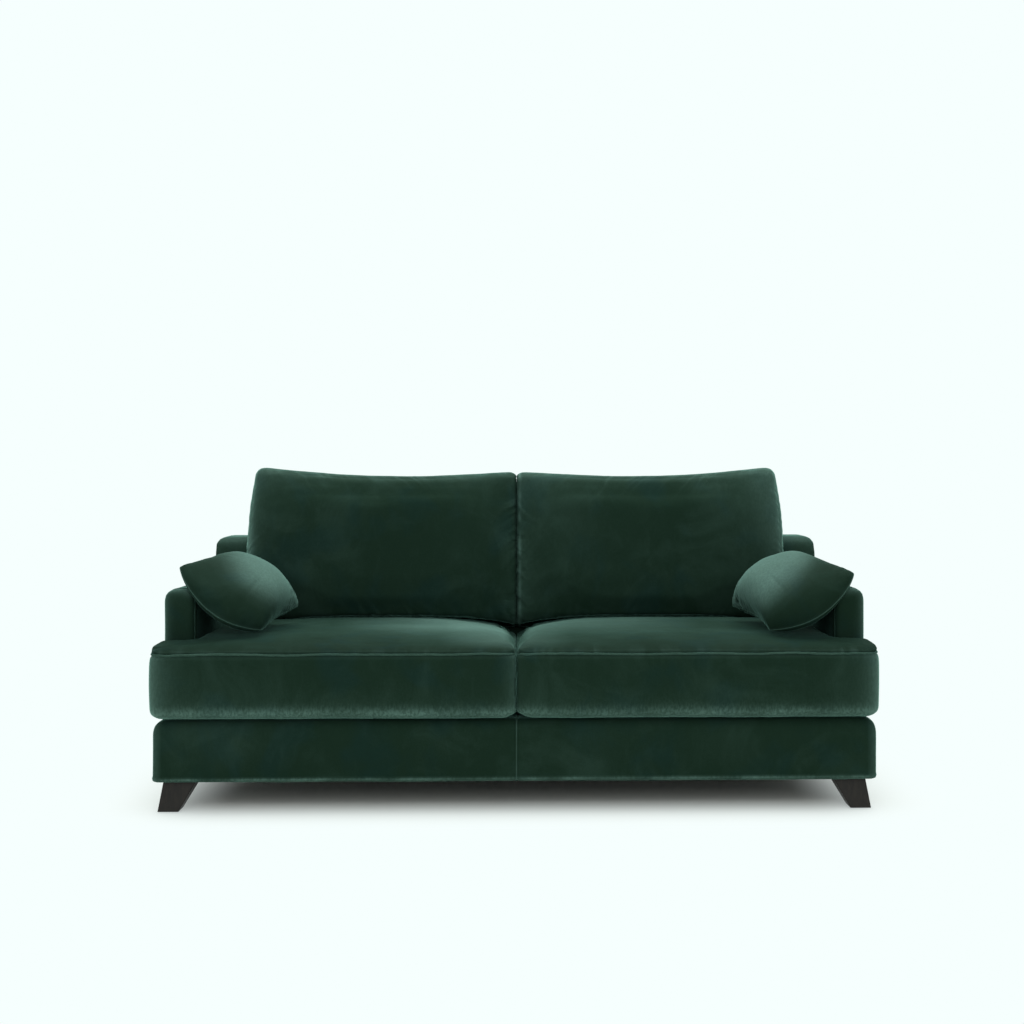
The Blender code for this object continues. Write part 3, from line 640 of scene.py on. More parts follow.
def spread(obj, values, times):
    """Averages the values of each point with its neighbours', so that narrow ripples go."""
    ends = np.empty(len(obj.data.edges) * 2, np.int32)
    obj.data.edges.foreach_get("vertices", ends)
    here, there = ends.reshape(-1, 2).T
    count = (np.bincount(ends, minlength=len(values)) + 1.0)[:, None]
    for _ in range(times):
        total = values.copy()
        for k in range(values.shape[1]):
            total[:, k] += np.bincount(here, values[there, k], len(values))
            total[:, k] += np.bincount(there, values[here, k], len(values))
        values = total / count
    return values


def finer_near(obj, line, reach):
    """Halves the mesh's spacing close to a seam, where small pleats come."""
    bm = bmesh.new()
    bm.from_mesh(obj.data)
    centres = np.array([f.calc_center_median()[:] for f in bm.faces])
    away, _ = near_line(centres, line)
    bm.faces.ensure_lookup_table()
    edges = dict.fromkeys(e for i in np.nonzero(away < reach)[0] for e in bm.faces[int(i)].edges)
    bmesh.ops.subdivide_edges(bm, edges=list(edges), cuts=1, use_grid_fill=True)
    bm.to_mesh(obj.data)
    bm.free()


def fill_cover(obj, pinned, swell, slack, calming=8):
    """Lets the filling press the cover out between its sewn seams, then keeps the shape."""
    cushions = bpy.context.scene.sofa_cushions
    start = points_of(obj)
    group = obj.vertex_groups.new(name="seams")
    for index in np.nonzero(pinned > 0.01)[0]:
        group.add([int(index)], float(min(1.0, pinned[index])), "REPLACE")
    filling = obj.modifiers.new("Filling", "CLOTH")
    cloth = filling.settings
    cloth.quality = 4
    cloth.mass = 0.3
    cloth.tension_stiffness = cloth.compression_stiffness = 20.0
    cloth.shear_stiffness = 8.0
    cloth.bending_stiffness = 0.6
    cloth.air_damping = 2.0
    cloth.use_pressure = True
    cloth.uniform_pressure_force = cushions.pressure
    cloth.vertex_group_mass = "seams"
    cloth.shrink_min = cloth.shrink_max = -slack
    cloth.effector_weights.gravity = 0.0
    filling.collision_settings.use_collision = False
    filling.point_cache.frame_start = 1
    filling.point_cache.frame_end = cushions.steps
    scene = bpy.context.scene
    for step in range(1, cushions.steps + 1):
        scene.frame_set(step)
    settle(obj)
    scene.frame_set(1)
    moved = spread(obj, points_of(obj) - start, calming) * (1 - np.clip(pinned, 0, 1))[:, None]
    reach = np.linalg.norm(moved, axis=1, keepdims=True)
    set_points(obj, start + moved * np.minimum(1.0, swell / np.maximum(reach, 1e-9)))
    obj.vertex_groups.clear()


# Falloffs


def rise(values, start, over):
    """0 up to a start, then growing to 1."""
    return np.clip((values - start) / over, 0, 1)


def fall(values, end, over):
    """1 at first, then falling to 0 at an end."""
    return np.clip((end - values) / over, 0, 1)


def fade(values, reach):
    """1 at nought, falling evenly to 0 at a reach."""
    return np.clip(1 - values / reach, 0, 1)


def bell(values, width):
    return np.exp(-((values / width) ** 2))


def edge_band(values, level, width):
    """1 at a level, falling to 0 at a width from it."""
    return fade(np.abs(values - level), width)


def puff(away, reach):
    """How a filled panel stands up beside its seam: 0 on it, 1 at the reach, then falling."""
    share = away / reach
    return share * np.exp(1 - share)


def rounded(share, power):
    """A rounded shoulder: 0 at nought, 1 from one on."""
    return (1 - (1 - np.clip(share, 0, 1)) ** 2) ** power


def corner_turn(from_end, radius):
    """How far a corner of a radius turns away, by the distance from its end."""
    inside = np.clip(radius - from_end, 0, radius)
    return radius - np.sqrt(np.clip(radius**2 - inside**2, 0, None))


# Cushions


def noise_along(seed, *rows):
    """Smooth random heights, read along a seam."""
    return soft_noise(np.stack(np.broadcast_arrays(*rows), 1), seed)


def gathers(points, line, seed, reach, pitch, slant=0.0):
    """Small pleats that start at a seam and die out, from -1 to 1."""
    away, run = near_line(points, line)
    wander = noise_along(seed, run / 0.09, away / 0.06, seed * 3.7)
    phase = (run + slant * away) / pitch + 1.3 * wander
    pleat = noise_along(seed + 7, phase, away / 0.10 + seed, 0.5)
    strength = 0.55 + 0.45 * noise_along(seed + 3, run / 0.16, seed * 1.1)
    return pleat * strength * np.exp(-((away / reach) ** 1.2)), away, run


def from_neighbour(points, sign, touch):
    """Distance from the surface in which two cushions touch near the sofa's middle."""
    return sign * (points[:, 0] - touch(points))


def keep_clear(points, sign, touch, gap=0.00012):
    points[:, 0] += sign * np.maximum(gap - from_neighbour(points, sign, touch), 0)
    return points


def meet_in_middle(points, sign, touch, along, press=0.004, reach=0.10):
    """Moves a cushion's inner side to the middle, where its neighbour presses it flat."""
    inwards = sign * points[:, 0]
    count = 30
    length = np.ptp(along)
    slot = np.minimum(((along - along.min()) / length * count).astype(int), count - 1)
    nearest = np.full(count, np.inf)
    np.minimum.at(nearest, slot, inwards)
    nearest = np.convolve(np.pad(nearest, 1, mode="edge"), (0.25, 0.5, 0.25), "valid")
    at = along.min() + (np.arange(count) + 0.5) * length / count
    nearest = np.interp(along, at, nearest)
    shift = (nearest + press) * fall(nearest, 0.045, 0.025)
    points[:, 0] = sign * (inwards - shift * fade(inwards - nearest - press, reach) ** 2)
    return keep_clear(points, sign, touch)


def fit_between(points, axis, low, high):
    """Stretches the points a little along one axis, so that they reach from low to high."""
    now_low, now_high = points[:, axis].min(), points[:, axis].max()
    points[:, axis] = low + (points[:, axis] - now_low) * (high - low) / (now_high - now_low)
    return points


# The seat cushions. A pair of rows gives values at places, by depth or by the distance
# from the sofa's middle.
SEAT_BORDER = 0.175
SEAT_FULLNESS = 1.006
SEAM_LIFT = 0.0075
SEAT_CROWN = ((0.0, 0.35, 0.60, 0.85, 1.0), (0.031, 0.036, 0.036, 0.030, 0.027))
SEAT_REAR_SLOPE = ((0.10, 0.15, 0.20, 0.23), (1.0, 0.92, 0.75, 0.0))
SEAT_REAR_SWELL = ((-0.18, -0.04, 0.07, 0.12), (0.0, 1.0, 1.0, 0.0))
SEAT_END_START = ((-0.20, 0.0, 0.10), (0.0, 0.018, 0.046))
SEAT_END_REACH = ((-0.45, -0.20, 0.0, 0.10), (0.050, 0.080, 0.160, 0.220))
SEAT_VALLEY = ((-0.38, -0.20, 0.10), (0.0, 0.018, 0.032))
SEAT_HEM_LIFT = 0.0135
# Painted highlight along a seat cushion's crest, by depth and by the distance from the middle
CREST_DEPTH = ((-0.40, -0.26, -0.12, 0.02), (0.0, 0.16, 0.50, 0.90))
CREST_PLACES = (0.0, 0.05, 0.16, 0.28, 0.44, 0.56)

# What differs between them: how much fuller the rear is, how far the outer end is
# gathered, the painted highlight on the rim beside the gap, and the painted highlight along
# the crest and (as strength and reach) on the slope to the gap
SEATS = {
    "left": {
        "seed": 11, "fuller": 0.0, "gathered": 1.0, "rim": 0.45,
        "crest": (0.80, 1.05, 1.35, 1.00, 0.28, 0.0), "slope": (0.62, 0.22),
    },
    "right": {
        "seed": 23, "fuller": 0.17, "gathered": 0.45, "rim": 0.08,
        "crest": (0.60, 0.62, 0.62, 0.50, 0.28, 0.04), "slope": (0.40, 0.16),
    },
}


def seat_touch(points):
    """Wavy from front to back but not upwards, so that either seat cushion still lifts out."""
    return 0.0024 * np.sin(points[:, 1] / 0.021) * fall(points[:, 1], 0.04, 0.05)


def fill_seat(obj, line, bottom, seam_level):
    """Fills a seat cushion: its seams and underside hold, its border gives a little."""
    cushions = bpy.context.scene.sofa_cushions
    even_out(obj, cushions.cloth_step, 2)
    points = points_of(obj)
    away, _ = near_line(points, line)
    seams = np.clip(1.4 - away / cushions.cloth_step, 0, 1)
    border = 0.75 * fall(points[:, 2], seam_level, 0.02)
    resting = (points[:, 2] < bottom + 0.008) * 1.0
    fill_cover(obj, np.maximum.reduce([seams, border, resting]), cushions.swell, cushions.slack)
    subdivide(obj)
    finer_near(obj, line, 0.026)


def crown_seat(points, line, inner, low, seam_level, seat):
    """The heights of a seat cushion's points under its crown, and the lighter band at its foot,
    partly crushed pile and partly painted highlight.
    """
    depth, up = points[:, 1], points[:, 2]
    from_edge, _ = near_line(points * (1, 1, 0) + (0, 0, seam_level), line)
    dome = rounded(from_edge / 0.030, 0.5)
    dome = np.minimum(dome, rounded((depth - low.y) / 0.200, 0.72))
    end_start = np.interp(depth, *SEAT_END_START)
    end_share = (inner - end_start) / np.interp(depth, *SEAT_END_REACH)
    dome = np.minimum(dome, rounded(end_share, 0.85)) * np.interp(depth, *SEAT_REAR_SLOPE)
    dome *= 1 + seat["fuller"] * np.interp(depth, *SEAT_REAR_SWELL)
    crown = np.interp(inner, *SEAT_CROWN) * dome
    under = np.clip((up - low.z) / (seam_level - low.z), 0, 1)
    raised = low.z + under * (seam_level - low.z + SEAM_LIFT)
    raised += np.where(up > seam_level + 0.0005, crown, 0)
    low_edge = fade(from_edge, 0.055) ** 2 * fade(raised - low.z, 0.07) ** 2
    ripple = soft_noise(points[:, :2] / 0.16, seat["seed"] + 4)
    raised += low_edge * (SEAT_HEM_LIFT + 0.0055 * ripple)
    valley = np.interp(depth, *SEAT_VALLEY) * fade(inner, end_start + 0.012)
    raised -= valley * rise(up, seam_level - 0.09, 0.09)
    # The lighter band at the foot: partly crushed pile, partly painted highlight
    from_foot = np.clip(raised - low.z - low_edge * SEAT_HEM_LIFT, 0, None)
    foot = bell(from_foot - 0.010, 0.022) + 0.25 * np.exp(-from_foot / 0.045)
    return raised, foot


def round_ends(points, sign, outer, front):
    """Turns both ends of a seat cushion's front back in a curve."""
    inner = sign * points[:, 0]
    for from_end, radius in ((outer - inner, 0.028), (inner, 0.018)):
        near_front = fade(points[:, 1] - front, 0.08)
        points[:, 1] += corner_turn(from_end, radius) * near_front * 0.8


def seat_highlights(points, inner, outer, seat):
    """Painted highlights on a seat cushion's pile: its rims, and along its crest and the slope to
    the gap.
    """
    depth = points[:, 1]
    end = np.clip(outer - inner, 0, None)
    rim = seat["rim"] * np.exp(-inner / 0.014) * (inner > 0.004)
    rim += 1.15 * np.exp(-end / 0.017) + 0.24 * np.exp(-end / 0.05)
    nap = soft_noise(points / (0.17, 0.13, 0.4), seat["seed"] + 6)
    crest = np.interp(depth, *CREST_DEPTH) * (1 + 0.40 * nap)
    crest *= np.interp(inner, CREST_PLACES, seat["crest"])
    strength, reach = seat["slope"]
    crest += strength * fade(inner, reach) * rise(depth, -0.455, 0.07)
    return rim, crest


def dress_seat_cushion(side, sign):
    """A seat cushion's cover, filled, crowned and gathered, with painted highlights and painted
    shade, and its piped seam.
    """
    cushions = bpy.context.scene.sofa_cushions
    seat = SEATS[side]
    seed = seat["seed"]
    node = f"seat_cushion_{side}"
    low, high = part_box(node)
    seam_level = low.z + SEAT_BORDER
    obj = node_copy(node, f"seat_cushion_cover_{side}")
    line = section(obj, (0, 0, seam_level), (0, 0, 1))
    fill_seat(obj, line, low.z, seam_level)
    points = fit_between(points_of(obj), 0, low.x * SEAT_FULLNESS, high.x * SEAT_FULLNESS)
    points = fit_between(points, 1, low.y, high.y)
    points = meet_in_middle(points, sign, seat_touch, points[:, 1])
    line[:, 0] *= SEAT_FULLNESS
    inner = sign * points[:, 0]
    outer = max(abs(low.x), abs(high.x)) * SEAT_FULLNESS
    end_start = np.interp(points[:, 1], *SEAT_END_START)
    raised, foot = crown_seat(points, line, inner, low, seam_level, seat)
    points[:, 2] += spread(obj, (raised - points[:, 2])[:, None], 1)[:, 0]
    for places in (points, line):
        round_ends(places, sign, outer, low.y)
    line[:, 2] += SEAM_LIFT
    seam_level += SEAM_LIFT
    set_points(obj, points)

    pleats, away, _ = gathers(points, line, seed, 0.024, 0.0115)
    above = points[:, 2] > seam_level
    near_ends = np.maximum(0.8 * fade(inner, 0.12), seat["gathered"] * rise(inner, 0.83, 0.08))
    near_ends = 0.15 + 0.85 * near_ends * fall(points[:, 1], -0.39, 0.05)
    height = np.where(above, 0.0030 * puff(away, 0.030), 0.0018 * puff(away, 0.05))
    height += 0.0030 * soft_noise(points / 0.19, seed + 1) * np.clip(away / 0.06, 0, 1)
    height += 0.0007 * soft_noise(points / 0.055, seed + 2)
    height += pleats * near_ends * np.where(above, 0.0075, 0.0024) * np.clip(away / 0.006, 0, 1)
    height -= 0.0030 * bell(away, 0.006)
    height[points[:, 2] < low.z + 0.004] = 0
    height[from_neighbour(points, sign, seat_touch) < 0.003] = 0
    foot_streaks = 1 + 0.40 * soft_noise(points / (0.060, 0.060, 0.045), seed + 9)
    move_along_normals(obj, height)
    points = points_of(obj)
    points[:, 2] = np.maximum(points[:, 2], low.z)
    points = keep_clear(points, sign, seat_touch)
    set_points(obj, points)

    # Lighter band at the foot, partly crushed pile and partly painted highlight
    mark_pile_light(obj, 0.46 * foot * foot_streaks, "crushed_pile_and_highlight")
    # Painted highlights on the rims, crest and pleats, none in the gap between the cushions
    rim, crest = seat_highlights(points, inner, outer, seat)
    out_of_gap = rise(inner, end_start + 0.010, 0.025)
    crest *= np.maximum(out_of_gap, fall(points[:, 1], -0.34, 0.06))
    nap_and_highlight = np.where(above, 1.1, 0.3) * np.clip(pleats, 0, 1) * near_ends + crest * above
    mark_pile_light(obj, nap_and_highlight + 0.08 * edge_band(away, 0.006, 0.010) + rim * ~above)
    shade_smooth(obj)
    # Painted shade: darker, less sheeny velvet on the top panel and in the gap between the cushions
    second_finish(obj, "shaded_low_sheen", lambda face: (
        face.center.z > seam_level
        or abs(face.center.x) < 0.030 and face.center.y > low.y + 0.025
    ))
    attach(obj, node)
    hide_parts(node)

    bead_line = laid_on(smoothed_line(line), obj, -0.0016)
    bead_line[:, 2] += 0.0020 * noise_along(seed + 5, along_line(bead_line) / 0.11, seed)
    hidden = fall(sign * bead_line[:, 0], 0.03, 0.02) * rise(bead_line[:, 1], -0.452, 0.03)
    bead_line[:, 2] -= 0.0170 * hidden
    bead_line[:, 0] = sign * np.maximum(sign * bead_line[:, 0], cushions.bead)
    bead = tube(f"seat_piping_{side}", smoothed_line(bead_line), cushions.bead, "piping", 0.22)
    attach(bead, node)


# The back cushions: the depth of their border, how high their pinned lower part reaches,
# and the distance of their outer sides from the sofa's middle
BACK_BORDER = 0.128
BACK_RESTING = 0.478
BACK_OUTER = 0.8665
BACK_SEEDS = {"left": 31, "right": 47}


def back_side_highlights(points, sign, seed):
    """Painted highlights along a back cushion's two sides, and beside the gap on the right cushion.
    """
    inner, end = sign * points[:, 0], np.clip(BACK_OUTER - sign * points[:, 0], 0, None)
    if sign < 0:
        return 0.85 * np.exp(-end / 0.014) + 0.16 * np.exp(-end / 0.05)
    sides = 0.20 * np.exp(-end / 0.014)
    sides += 0.48 * np.exp(-end / 0.065) * rise(points[:, 2], 0.62, 0.12)
    uneven = np.clip(0.5 + 0.8 * soft_noise(points / (0.5, 0.5, 0.022), seed + 8), 0, 1.2)
    return sides + 0.50 * uneven * bell(inner - 0.010, 0.005) + 0.12 * np.exp(-inner / 0.07)


def dress_back_cushion(side, sign):
    """A back cushion's cover, filled, rounded and creased, with painted highlights and painted
    shade, and its rear seam.
    """
    cushions = bpy.context.scene.sofa_cushions
    seed = BACK_SEEDS[side]
    node = f"back_cushion_{side}"
    low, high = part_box(node)
    obj = node_copy(node, f"back_cushion_cover_{side}")
    forward, up = np.array(BACK_FORWARD), np.array(BACK_UP)
    rear = (points_of(obj) @ forward).min()

    def touch(points):
        """A low swelling along the rear edge, straight along the way a cushion lifts out."""
        deep = np.clip((points @ forward - rear) / 0.028, 0, 1)
        return 0.0022 * np.sin(np.pi * deep) ** 2

    line = section(obj, BACK_FORWARD * (rear + BACK_BORDER), BACK_FORWARD)
    rear_line = section(obj, BACK_FORWARD * (rear + 0.012), BACK_FORWARD)
    even_out(obj, cushions.cloth_step, 2)
    points = points_of(obj)
    away, _ = near_line(points, line)
    seams = np.clip(1.4 - away / cushions.cloth_step, 0, 1)
    resting = (points @ forward - rear < 0.008) | (points[:, 2] < BACK_RESTING)
    fill_cover(obj, np.maximum(seams, resting), cushions.swell, cushions.slack, 24)
    subdivide(obj)
    points = fit_between(points_of(obj), 0, low.x, high.x)
    points = fit_between(points, 2, low.z, high.z - 0.010)
    points = meet_in_middle(points, sign, touch, points @ up, 0.011, 0.14)
    height = points @ up
    turn = corner_turn(from_neighbour(points, sign, touch), 0.022)
    turn *= rise(height, height.max() - 0.10, 0.09) ** 2
    set_points(obj, points - turn[:, None] * up)
    line = laid_on(line, obj, 0.0)
    finer_near(obj, line, 0.045)

    points = points_of(obj)
    pleats, away, _ = gathers(points, line, seed, 0.040, 0.012, 0.8)
    deep = points @ forward - rear
    near_top = rise(points[:, 2], high.z - 0.16, 0.12)
    swelling = 0.0045 * near_top + np.where(deep > BACK_BORDER, 0.0060, 0.0100) * (1 - near_top)
    height = swelling * (0.5 * puff(away, 0.034) + 0.5 * bell(away, 0.05))
    height *= np.clip(deep / 0.03, 0, 1)
    height += 0.0030 * soft_noise(points / 0.21, seed + 1) * np.clip(away / 0.06, 0, 1)
    height += 0.0006 * soft_noise(points / 0.06, seed + 2)
    height += pleats * np.clip(away / 0.006, 0, 1) * (0.0050 - 0.0044 * near_top)
    height[deep < 0.004] = 0
    height[from_neighbour(points, sign, touch) < 0.003] = 0
    move_along_normals(obj, height * rise(points[:, 2], 0.440, 0.05))
    points = keep_clear(points_of(obj), sign, touch)
    set_points(obj, points)

    # Painted highlights on the pleats, seam, top and sides, with some random nap
    nap = np.clip(soft_noise(points / (0.17, 0.3, 0.26), seed + 6), 0, 1)
    nap_and_highlight = 0.30 * np.clip(pleats, 0, 1) + 0.05 * nap + 0.04 * edge_band(away, 0.006, 0.024)
    nap_and_highlight += 0.10 * rise(points[:, 2], 0.86, 0.08) ** 2
    mark_pile_light(obj, nap_and_highlight + back_side_highlights(points, sign, seed))
    # Painted shade: darker, less sheeny velvet in the gap between the two cushions
    second_finish(obj, "shaded_low_sheen", lambda face: abs(face.center.x) < 0.007)
    shade_smooth(obj)
    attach(obj, node)
    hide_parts(node)
    bead_line = laid_on(smoothed_line(rear_line), obj, 0.0008)
    bead_line[:, 0] = sign * np.maximum(sign * bead_line[:, 0], cushions.bead)
    bead = tube(f"back_piping_{side}", smoothed_line(bead_line), cushions.bead * 0.7, "piping", 0.1)
    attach(bead, node)


# The scatter cushions: the corners of their seams (as on the right side), how far the
# middle of the top hangs, how much thinner each is at its inner corner, how far its front
# edge bows in, how high its top stands, and where the light on its pile starts
PILLOWS = {
    "left": {
        "outer": (0.970, -0.310, 0.668),
        "front": (0.721, -0.335, 0.4864),
        "inner": (0.668, -0.010, 0.5234),
        "rear": (0.884, 0.012, 0.682),
        "droop": (-0.012, -0.050, -0.052),
        "seed": 61, "thin": 0.32, "bow": 0.08, "rise": 0.108, "lit_from": 0.641,
    },
    "right": {
        "outer": (0.984, -0.312, 0.646),
        "front": (0.722, -0.338, 0.4822),
        "inner": (0.666, -0.010, 0.5200),
        "rear": (0.880, 0.012, 0.682),
        "droop": (-0.012, -0.050, -0.048),
        "seed": 73, "thin": 0.14, "bow": 0.14, "rise": 0.117, "lit_from": 0.619,
    },
}
PILLOW_DROP = 0.050
PILLOW_CELLS = 56
PILE_LIGHT = ((-0.035, -0.012, 0.005, 0.025, 0.055), (0.0, 0.06, 0.22, 0.50, 0.78))
NEIGHBOUR_GAP = 0.0008


def scatter_shape(pillow, sign):
    """The two faces of a knife-edge cushion between its four corners, on a fine grid."""
    corner = {k: np.array(place) for k, place in pillow.items() if isinstance(place, tuple)}
    outer, front, inner, rear = (Vector(pillow[k]) for k in ("outer", "front", "inner", "rear"))
    lift = np.array((outer - inner).cross(rear - front).normalized())
    across = np.sin(np.pi / 2 * np.linspace(-1, 1, PILLOW_CELLS + 1))
    u, v = np.meshgrid(across, across, indexing="ij")
    tip = 1 - np.where((u > 0) & (v < 0), 0.060, 0.035) * (u * v) ** 8
    pulled_u = u * (1 - np.where(u < 0, pillow["bow"], 0.05) * (1 - v * v)) * tip
    pulled_v = v * (1 - 0.05 * (1 - u * u)) * tip
    to_rear, to_top = (1 + pulled_v[..., None]) / 2, (1 + pulled_u[..., None]) / 2
    low = corner["front"] + (corner["inner"] - corner["front"]) * to_rear
    high = corner["outer"] + (corner["rear"] - corner["outer"]) * to_rear
    sag = (1 - u * u) * (1 + 0.40 * u) * (1 - v) / 2
    flat = low + (high - low) * to_top + corner["droop"] * sag[..., None]
    fill = np.clip((1 - u * u) * (1 - v * v), 0, None) ** 0.46 * (1 - 0.18 * u) * (1 + 0.12 * v)
    fill *= 1 - pillow["thin"] * bell(u + 1, 0.75) * bell(v - 1, 0.75)
    crease = bell(u + 0.12, 0.035) * bell(v + 0.45, 0.22)
    top = flat + lift * (fill * pillow["rise"] - 0.005 * crease)[..., None]
    bottom = flat - lift * (fill * PILLOW_DROP)[..., None]
    for sheet in (top, bottom):
        sheet[..., 0] *= sign
    return top, bottom


def sewn_sheets(name, top, bottom):
    """Two grids of points as one closed mesh, sewn together round the rim."""
    last = len(top) - 1
    bm = bmesh.new()
    made = {}
    for layer, sheet in enumerate((top, bottom)):
        for i, j in itertools.product(range(last + 1), repeat=2):
            if layer and (i in (0, last) or j in (0, last)):
                made[1, i, j] = made[0, i, j]
            else:
                made[layer, i, j] = bm.verts.new(sheet[i, j])
    for layer, i, j in itertools.product((0, 1), range(last), range(last)):
        quad = [made[layer, a, b] for a, b in ((i, j), (i + 1, j), (i + 1, j + 1), (i, j + 1))]
        bm.faces.new(quad if layer == 0 else quad[::-1])
    bmesh.ops.recalc_face_normals(bm, faces=bm.faces)
    rim = np.concatenate([top[:last, 0], top[last, :last], top[last:0:-1, last], top[0, last:0:-1]])
    # Painted shade: the darker, less sheeny velvet
    return link_bmesh(name, bm, "shaded_low_sheen"), rim


def rest_on(points, others):
    """Moves the points that are inside other pieces out to their surfaces."""
    for other in others:
        tree = surface_of(other)
        for k, p in enumerate(points):
            place, normal, _, _ = tree.find_nearest(Vector(p))
            if (Vector(p) - place).dot(normal) < NEIGHBOUR_GAP:
                points[k] = place + normal * NEIGHBOUR_GAP
    return points


def dress_scatter_cushion(side, sign, neighbours):
    """A scatter cushion that lies over the arm and the seat, with folds at its inner corner."""
    pillow = PILLOWS[side]
    seed = pillow["seed"]
    node = f"scatter_cushion_{side}"
    obj, rim = sewn_sheets(f"scatter_cushion_cover_{side}", *scatter_shape(pillow, sign))
    away, _ = near_line(points_of(obj), rim)
    fill_cover(obj, fade(away, 0.012) * 0.9, 0.008, 0.0, 14)
    subdivide(obj)
    points = points_of(obj)
    pleats, away, run = gathers(points, rim, seed, 0.090, 0.019, 0.1)
    from_tip = np.linalg.norm(points - np.array(pillow["inner"]) * (sign, 1, 1), axis=1)
    pleats *= 0.10 + 0.50 * bell(from_tip, 0.15)
    wander = 2.2 * soft_noise(points / 0.060, seed + 5)
    folds = np.sin(2 * np.pi * (run + 0.3 * away) / 0.018 + wander)
    folds *= np.exp(-((away / 0.055) ** 1.4)) * bell(from_tip - 0.080, 0.055)
    height = 0.0018 * soft_noise(points / 0.12, seed) * np.clip(away / 0.05, 0, 1)
    height += 0.0004 * soft_noise(points / 0.035, seed + 1)
    height += pleats * 0.0260 * np.clip(away / 0.014, 0, 1) * rise(from_tip, 0.030, 0.05)
    height += folds * 0.0036 * np.clip(away / 0.010, 0, 1)
    move_along_normals(obj, height)
    points = rest_on(points_of(obj), neighbours)
    set_points(obj, points)

    # Painted light on the pile: lighter towards the top and the inner corner and on the fold
    # ridges, with painted shade in the fold hollows
    nap = soft_noise(points / (0.07, 0.10, 0.10), seed + 4)
    inwards = 0.812 - sign * points[:, 0]
    lit = np.interp(points[:, 2] - pillow["lit_from"] + 0.82 * inwards + 0.010 * nap, *PILE_LIGHT)
    lit += 0.80 * bell(from_tip, 0.165)
    lit *= 1 - 0.9 * np.clip(-2.0 * folds - 5 * pleats, 0, 1)
    mark_pile_light(obj, lit + 0.40 * np.clip(folds, 0, 1) + 0.10 * edge_band(away, 0.002, 0.006))
    shade_smooth(obj)
    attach(obj, node)
    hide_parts(node)
    line = laid_on(smoothed_line(resample(rim)), obj, 0.0)
    seam = tube(f"scatter_seam_{side}", line, 0.0014, "piping", 0.25)
    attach(seam, node)


# Covers of the frame


def dress_cover(node, name, lumps, smoothing, seed, shape=None, step=0.7):
    """A padded cover over the timber: evened out, softened and slightly uneven."""
    cushions = bpy.context.scene.sofa_cushions
    obj = node_copy(node, name)
    even_out(obj, cushions.cover_step * step, smoothing)
    edges, hem = shape(obj) if shape else (0.0, 0.0)
    points = points_of(obj)
    small = lumps * 0.35 * soft_noise(points / 0.05, seed + 1)
    move_along_normals(obj, lumps * soft_noise(points / 0.16, seed) + small)
    # Random nap, plus the painted highlights that the shape gives
    mark_pile_light(obj, 0.06 * np.clip(soft_noise(points / 0.2, seed + 2), 0, 1) + edges)
    mark_pile_light(obj, np.zeros(len(points)) + hem, "crushed_pile_and_highlight")
    shade_smooth(obj)
    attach(obj, "frame")
    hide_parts(node)
    return obj


def dress_welt(cover, name, inset, sink, radius):
    """A covered cord round the rear outline of a cover."""
    rear = points_of(cover)[:, 1].max()
    line = smoothed_line(section(cover, (0, rear - inset, 0), (0, 1, 0)))
    line[:, 1] = rear - sink
    welt = tube(name, line, radius, "velvet", 0.05)
    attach(welt, "frame")


def painted_front_rim(obj):
    """Painted highlight round the outline of an arm's front, where it turns."""
    points = points_of(obj)
    outline = section(obj, (0, points[:, 1].min() + 0.012, 0), (0, 1, 0))
    away, _ = near_line(points, outline)
    across = np.abs(points[:, 0])
    outside = rise(across, across.min() + 0.045, 0.03)
    top = rise(points[:, 2], points[:, 2].max() - 0.030, 0.025)
    return np.maximum(outside, 1.1 * top) * np.exp(-away / 0.010), 0.0


def painted_top_light(obj):
    """Painted light where a cover faces up, as it turns over its top edge."""
    return 0.30 * np.clip(normals_of(obj)[:, 2] * 1.4, 0, 1), 0.0


BASE_END = 1.0
BASE_END_RADIUS = 0.014
BASE_HEM = 0.0920


def base_seams(obj):
    """The upright seam in the middle of the base, and the turned hem along its lower edge."""
    bm = bmesh.new()
    bm.from_mesh(obj.data)
    for x in (-0.009, -0.005, -0.0025, -0.001, 0.0, 0.001, 0.0025, 0.005, 0.009):
        geometry = bm.verts[:] + bm.edges[:] + bm.faces[:]
        bmesh.ops.bisect_plane(bm, geom=geometry, dist=1e-6, plane_co=(x, 0, 0), plane_no=(1, 0, 0))
    bm.to_mesh(obj.data)
    bm.free()
    points = points_of(obj)
    radius = BASE_END_RADIUS
    beside = np.clip(radius - (BASE_END - np.abs(points[:, 0])), 0, None)
    beneath = np.clip(radius - (points[:, 2] - points[:, 2].min()), 0, None)
    shrink = np.minimum(1, radius / np.maximum(np.hypot(beside, beneath), 1e-9))
    points[:, 0] -= np.sign(points[:, 0]) * beside * (1 - shrink)
    points[:, 2] += beneath * (1 - shrink)
    points[:, 0] *= 1.003
    set_points(obj, points)
    across = np.abs(points[:, 0])
    forward = normals_of(obj)[:, 1] < 0.3
    groove = bell(across - 0.0035, 0.0022) * forward
    ridge = fade(across, 0.0026) * forward
    hem = edge_band(points[:, 2], BASE_HEM, 0.0070)
    move_along_normals(obj, 0.0006 * ridge - 0.0022 * groove + 0.0032 * hem)
    # Painted highlights on the middle seam's ridge and at the ends; the hem is lighter, partly
    # crushed pile and partly painted highlight
    uneven = 0.6 + 0.4 * soft_noise(points / (0.05, 0.05, 0.5), 4)
    return 0.35 * ridge + 0.30 * rise(across, 0.972, 0.028), 1.2 * hem * uneven


DECK_SEAM = -0.165


def deck_seam(obj):
    """The seam where the deck's velvet front strip meets the plain platform cloth."""
    points = points_of(obj)
    points[:, 2] -= 0.0022 * bell(points[:, 1] - DECK_SEAM, 0.006) * (normals_of(obj)[:, 2] > 0.5)
    set_points(obj, points)
    return 0.0, 0.0


